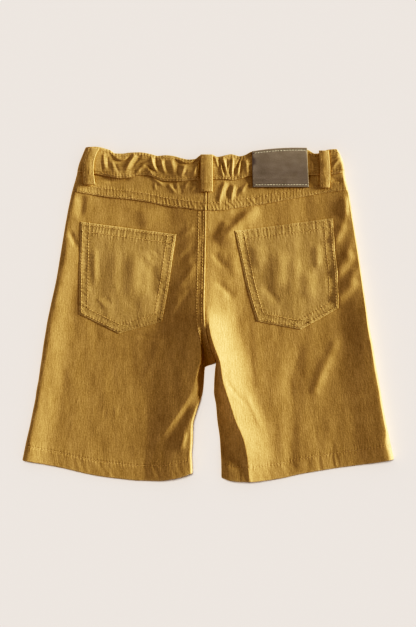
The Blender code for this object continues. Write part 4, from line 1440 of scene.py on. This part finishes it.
def begun(name, rough):
    """A new material, with its node tree and its shader of this roughness."""
    material = bpy.data.materials.new(name)
    material.use_nodes = True
    shader = material.node_tree.nodes["Principled BSDF"]
    shader.inputs["Roughness"].default_value = rough
    return material, material.node_tree, shader


def woven(tree):
    """The weave coordinates stored with a mesh."""
    made = tree.nodes.new("ShaderNodeUVMap")
    made.uv_map = "grain"
    return made.outputs[0]


def beside_row(tree, fall):
    """1 on a row of stitches and less beside it, by the square of the distance."""
    square = sums(tree, "POWER", attribute(tree, "to_row"), 2.0)
    return sums(tree, "EXPONENT", sums(tree, "MULTIPLY", square, -fall))


def emboss(tree, shader, parts):
    """A bump by the sum of some values, each times its amount in millimetres."""
    bump = node(tree, "ShaderNodeBump", Height=total(tree, parts), Distance=MM, Strength=1.0)
    tree.links.new(bump.outputs[0], shader.inputs["Normal"])


def denim(name, deep, mid, pale, worn=0.35):
    """Mustard stretch denim.

    Short lengthwise streaks colour it and lie in its bump, over a soft diagonal
    twill. Rows of stitches press a groove, darkened along them by painted shade,
    with puckers across it, and the borders are rubbed pale in patches.
    """
    material, tree, shader = begun(name, 0.62)
    weave = woven(tree)
    streak = noise(tree, weave, (11, 1.1, 1), 1.0)
    wide = noise(tree, weave, (2.6, 0.25, 1), 1.0)
    cloud = noise(tree, weave, (0.7, 0.45, 1), 3.0, 0.55)
    speck = noise(tree, weave, (9, 5, 1), 2.0, 0.6)
    tone = total(tree, [(speck, 0.45), (streak, 0.4), (wide, 0.15), (cloud, 0.25)])
    colour = blend(tree, levels(tree, tone, 0.44, 0.84), deep, mid)
    patchy = levels(tree, total(tree, [(cloud, 0.5), (speck, 0.6)]), 0.4, 0.75, 0.2, 1.0)
    rub = sums(tree, "MULTIPLY", attribute(tree, "worn"), patchy)
    colour = blend(tree, sums(tree, "MULTIPLY", rub, worn), colour, pale)
    groove = beside_row(tree, 2.2)
    # Painted shade: the colour darkens along rows of stitches, where their grooves lie
    shadow = [c * 0.35 for c in deep]
    colour = blend(tree, sums(tree, "MULTIPLY", groove, 0.12), colour, shadow)
    tree.links.new(colour, shader.inputs["Base Color"])
    shader.inputs["Specular IOR Level"].default_value = 0.25
    shader.inputs["Sheen Weight"].default_value = 0.05
    shader.inputs["Sheen Roughness"].default_value = 0.5
    where = stretched(tree, weave, (4.6, 4.6, 1))
    twill = node(tree, "ShaderNodeTexWave", Vector=where, Scale=1.0, Distortion=2.0)
    twill.wave_type = "BANDS"
    twill.bands_direction = "DIAGONAL"
    ripple = sums(tree, "MULTIPLY", attribute(tree, "along_row"), 2 * math.pi / 3.1)
    ripple = sums(tree, "SINE", sums(tree, "MULTIPLY_ADD", cloud, 9.0, ripple))
    lumps = noise(tree, weave, (1.7, 1.4, 1), 2.0, 0.6)
    near = beside_row(tree, 0.11)
    puckers, swells = sums(tree, "MULTIPLY", ripple, near), sums(tree, "MULTIPLY", lumps, near)
    threads = [(streak, 0.12), (wide, 0.05), (speck, 0.19), (twill.outputs["Fac"], 0.02)]
    emboss(tree, shader, threads + [(groove, -0.06), (puckers, 0.06), (swells, 0.35)])
    return material


def thread(name, colour, dark):
    """Sewing thread with a faint sheen, slight unevenness and painted shade at its ends."""
    material, tree, shader = begun(name, 0.6)
    where = tree.nodes.new("ShaderNodeTexCoord").outputs["Object"]
    patchy = levels(tree, noise(tree, where, (260, 260, 260)), 0.3, 0.7)
    shade = blend(tree, patchy, [c * 0.75 for c in colour], colour)
    # Painted shade: the thread darkens towards its ends, down the needle holes
    sunk = levels(tree, attribute(tree, "hole_shade"), 0.25, 0.9)
    shade = blend(tree, sunk, shade, [c * dark for c in colour])
    tree.links.new(shade, shader.inputs["Base Color"])
    return material


def hide(name):
    """Bare brown hide with a short nap: soft clouds, fine pores and pale rubbed edges."""
    material, tree, shader = begun(name, 0.78)
    weave = woven(tree)
    cloud = noise(tree, weave, (0.9, 1.3, 1), 3.0)
    nap = noise(tree, weave, (14, 9, 1), 4.0, 0.65)
    tone = levels(tree, total(tree, [(nap, 0.4), (cloud, 0.6)]), 0.2, 0.8)
    colour = blend(tree, tone, (0.245, 0.206, 0.176), (0.374, 0.316, 0.286))
    rub = sums(tree, "MULTIPLY", attribute(tree, "worn"), 0.25)
    colour = blend(tree, rub, colour, (0.41, 0.355, 0.29))
    tree.links.new(colour, shader.inputs["Base Color"])
    shader.inputs["Sheen Weight"].default_value = 0.2
    emboss(tree, shader, [(nap, 0.12), (beside_row(tree, 2.0), -0.3)])
    return material


def plain(name, colour, rough):
    """An even matt finish for the floor."""
    material, _, shader = begun(name, rough)
    shader.inputs["Base Color"].default_value = (*colour, 1)
    return material


# ---------------------------------------------------------------------- build

garment = bpy.data.collections.new("garment")
bpy.context.scene.collection.children.link(garment)

# Colours of each denim at the dark end of its streaks, in its body and where it is
# rubbed; 0.35 of the dark one is the painted shade along rows of stitches
body_denim = denim("denim_body", (0.41, 0.285, 0.15), (0.65, 0.455, 0.25), (0.76, 0.57, 0.35))
pocket_denim = denim(
    "denim_pockets", (0.44, 0.315, 0.17), (0.67, 0.48, 0.27), (0.78, 0.60, 0.38), 0.3
)
band_denim = denim(
    "denim_bands", (0.41, 0.287, 0.152), (0.66, 0.465, 0.257), (0.77, 0.58, 0.36), 0.4
)
gold_thread = thread("gold_thread", (0.74, 0.53, 0.30), 0.36)
cream_thread = thread("cream_thread", (0.84, 0.77, 0.66), 0.12)
brown_hide = hide("brown_hide")

# Stretches of the waistband's and the yokes' rows that show, from and to x
BAND_CUTS = [(-107, -9), (5, 43), (101, 110), (122, 130)]
YOKE_CUTS = [(-128, -3), (-1, 131)]


def dress(piece, material):
    """Gives a piece its finish and its place in the frame."""
    piece.data.materials.append(material)
    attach(piece, "root")
    return piece


def make_rows():
    """The garment's rows of gold stitches, by name."""
    loops = [row for table in LOOPS.values() for row in loop_rows(table)]
    over_top, over_low = -BAND_ROWS[0], BAND_ROWS[1]
    return {
        "stitches_band": spans(BAND_TOP, over_top, band_relief, BAND_CUTS)
        + spans(BAND_LOW, over_low, band_relief, BAND_CUTS),
        "stitches_yokes": [
            row for up in YOKE_ROWS for row in spans(YOKE_SEAM, up, yoke_relief, YOKE_CUTS)
        ],
        "stitches_hem_left": [across_line(HEM, -181, -17, HEM_DEPTH, back_height, "left")],
        "stitches_hem_right": [across_line(HEM, 14, 181, HEM_DEPTH, back_height, "right")],
        "stitches_seam": seam_rows(),
        "stitches_pocket_left": pocket_rows("left"),
        "stitches_pocket_right": pocket_rows("right"),
        "stitches_loops": loops,
    }


def make_stitches():
    """All stitches, by name: gold rows, gold bars at the loops' feet and cream rows."""
    sewn = {}
    for seed, (name, rows) in enumerate(make_rows().items()):
        size = LOOP_THREAD if name == "stitches_loops" else THREAD
        sewn[name] = dress(stitches(name, rows, PITCH, size, seed), gold_thread)
    bars = [row for table in LOOPS.values() for row in bar_rows(table)]
    dress(stitches("stitches_bars", bars, BAR_PITCH, BAR_THREAD, 20), gold_thread)
    cream = stitches("stitches_patch", patch_rows(), CREAM_PITCH, CREAM_THREAD, 30)
    dress(cream, cream_thread)
    return sewn


SIDES = ("left", "right")
backs = {side: dress(leg_back(side), body_denim) for side in SIDES}
fronts = {side: dress(leg_front(side), body_denim) for side in SIDES}
yokes = {side: dress(yoke(side), band_denim) for side in SIDES}
band = dress(waistband(), band_denim)
inner_band = dress(front_band(), band_denim)
pockets = {side: dress(pocket(side), pocket_denim) for side in SIDES}
for name, table in LOOPS.items():
    dress(belt_loop(name, table), band_denim)
dress(hide_patch(), brown_hide)
sewn = make_stitches()

# ------------------------------------------------------------------ surroundings


def placed(name, data):
    """A new object in the scene."""
    made = bpy.data.objects.new(name, data)
    bpy.context.scene.collection.objects.link(made)
    return made


def make_floor(half=3.0, sunk=0.0002):
    """A plain pale floor, a little below the cloth."""
    corners = [(-half, -half, 0), (half, -half, 0), (half, half, 0), (-half, half, 0)]
    mesh = bpy.data.meshes.new("floor")
    mesh.from_pydata(corners, [], [(0, 1, 2, 3)])
    mesh.materials.append(plain("pale_floor", (0.782, 0.73, 0.684), 0.95))
    piece = placed("floor", mesh)
    piece.location.z = -sunk
    return piece


def sun(name, strength, azimuth, elevation, wide, colour, receivers):
    """A soft distant lamp, wide degrees across.

    Azimuth 0 comes from +X and 90 from the waist's side.
    """
    data = bpy.data.lights.new(name, "SUN")
    data.energy = strength
    data.angle = math.radians(wide)
    data.color = colour
    lamp = placed(name, data)
    lamp.rotation_euler = (0, math.radians(90 - elevation), math.radians(azimuth))
    lamp.light_linking.receiver_collection = receivers


floor_only = bpy.data.collections.new("floor_only")
floor_only.objects.link(make_floor())
sun("key", 6.5, 12, 8, 18, (1.0, 0.97, 0.73), garment)
sun("left_fill", 0.42, 205, 30, 70, (1.0, 0.98, 0.98), garment)
sun("floor_light", 1.90, 115, 76, 16, (1.0, 0.98, 0.955), floor_only)

world = bpy.data.worlds.new("studio")
world.use_nodes = True
sky = world.node_tree.nodes["Background"]
sky.inputs["Color"].default_value = (1.0, 0.99, 1.02, 1)
sky.inputs["Strength"].default_value = 0.29
bpy.context.scene.world = world

# The camera's place over the middle, and its lens
camera_data = bpy.data.cameras.new("camera")
camera_data.lens = 91.87
camera_data.sensor_width = 36
camera = placed("camera", camera_data)
camera.location = (-0.00013, 0.00075, 1.605)
bpy.context.scene.camera = camera

# A photograph's tone curve, with a deep toe and a soft shoulder: a power of the
# light over its sum with the same power of TONE_MIDDLE, times TONE_TOP
TONE_BLACK = 0.044
TONE_MIDDLE = 0.478
TONE_POWER = 1.883
TONE_TOP = 1.333
view = bpy.context.scene.view_settings
view.view_transform = "Standard"
view.use_curve_mapping = True
for light in np.linspace(0.05, 0.95, 19):
    power = max(light - TONE_BLACK, 0) ** TONE_POWER
    tone = TONE_TOP * power / (power + TONE_MIDDLE**TONE_POWER)
    view.curve_mapping.curves[3].points.new(light, min(tone, 1))
view.curve_mapping.update()
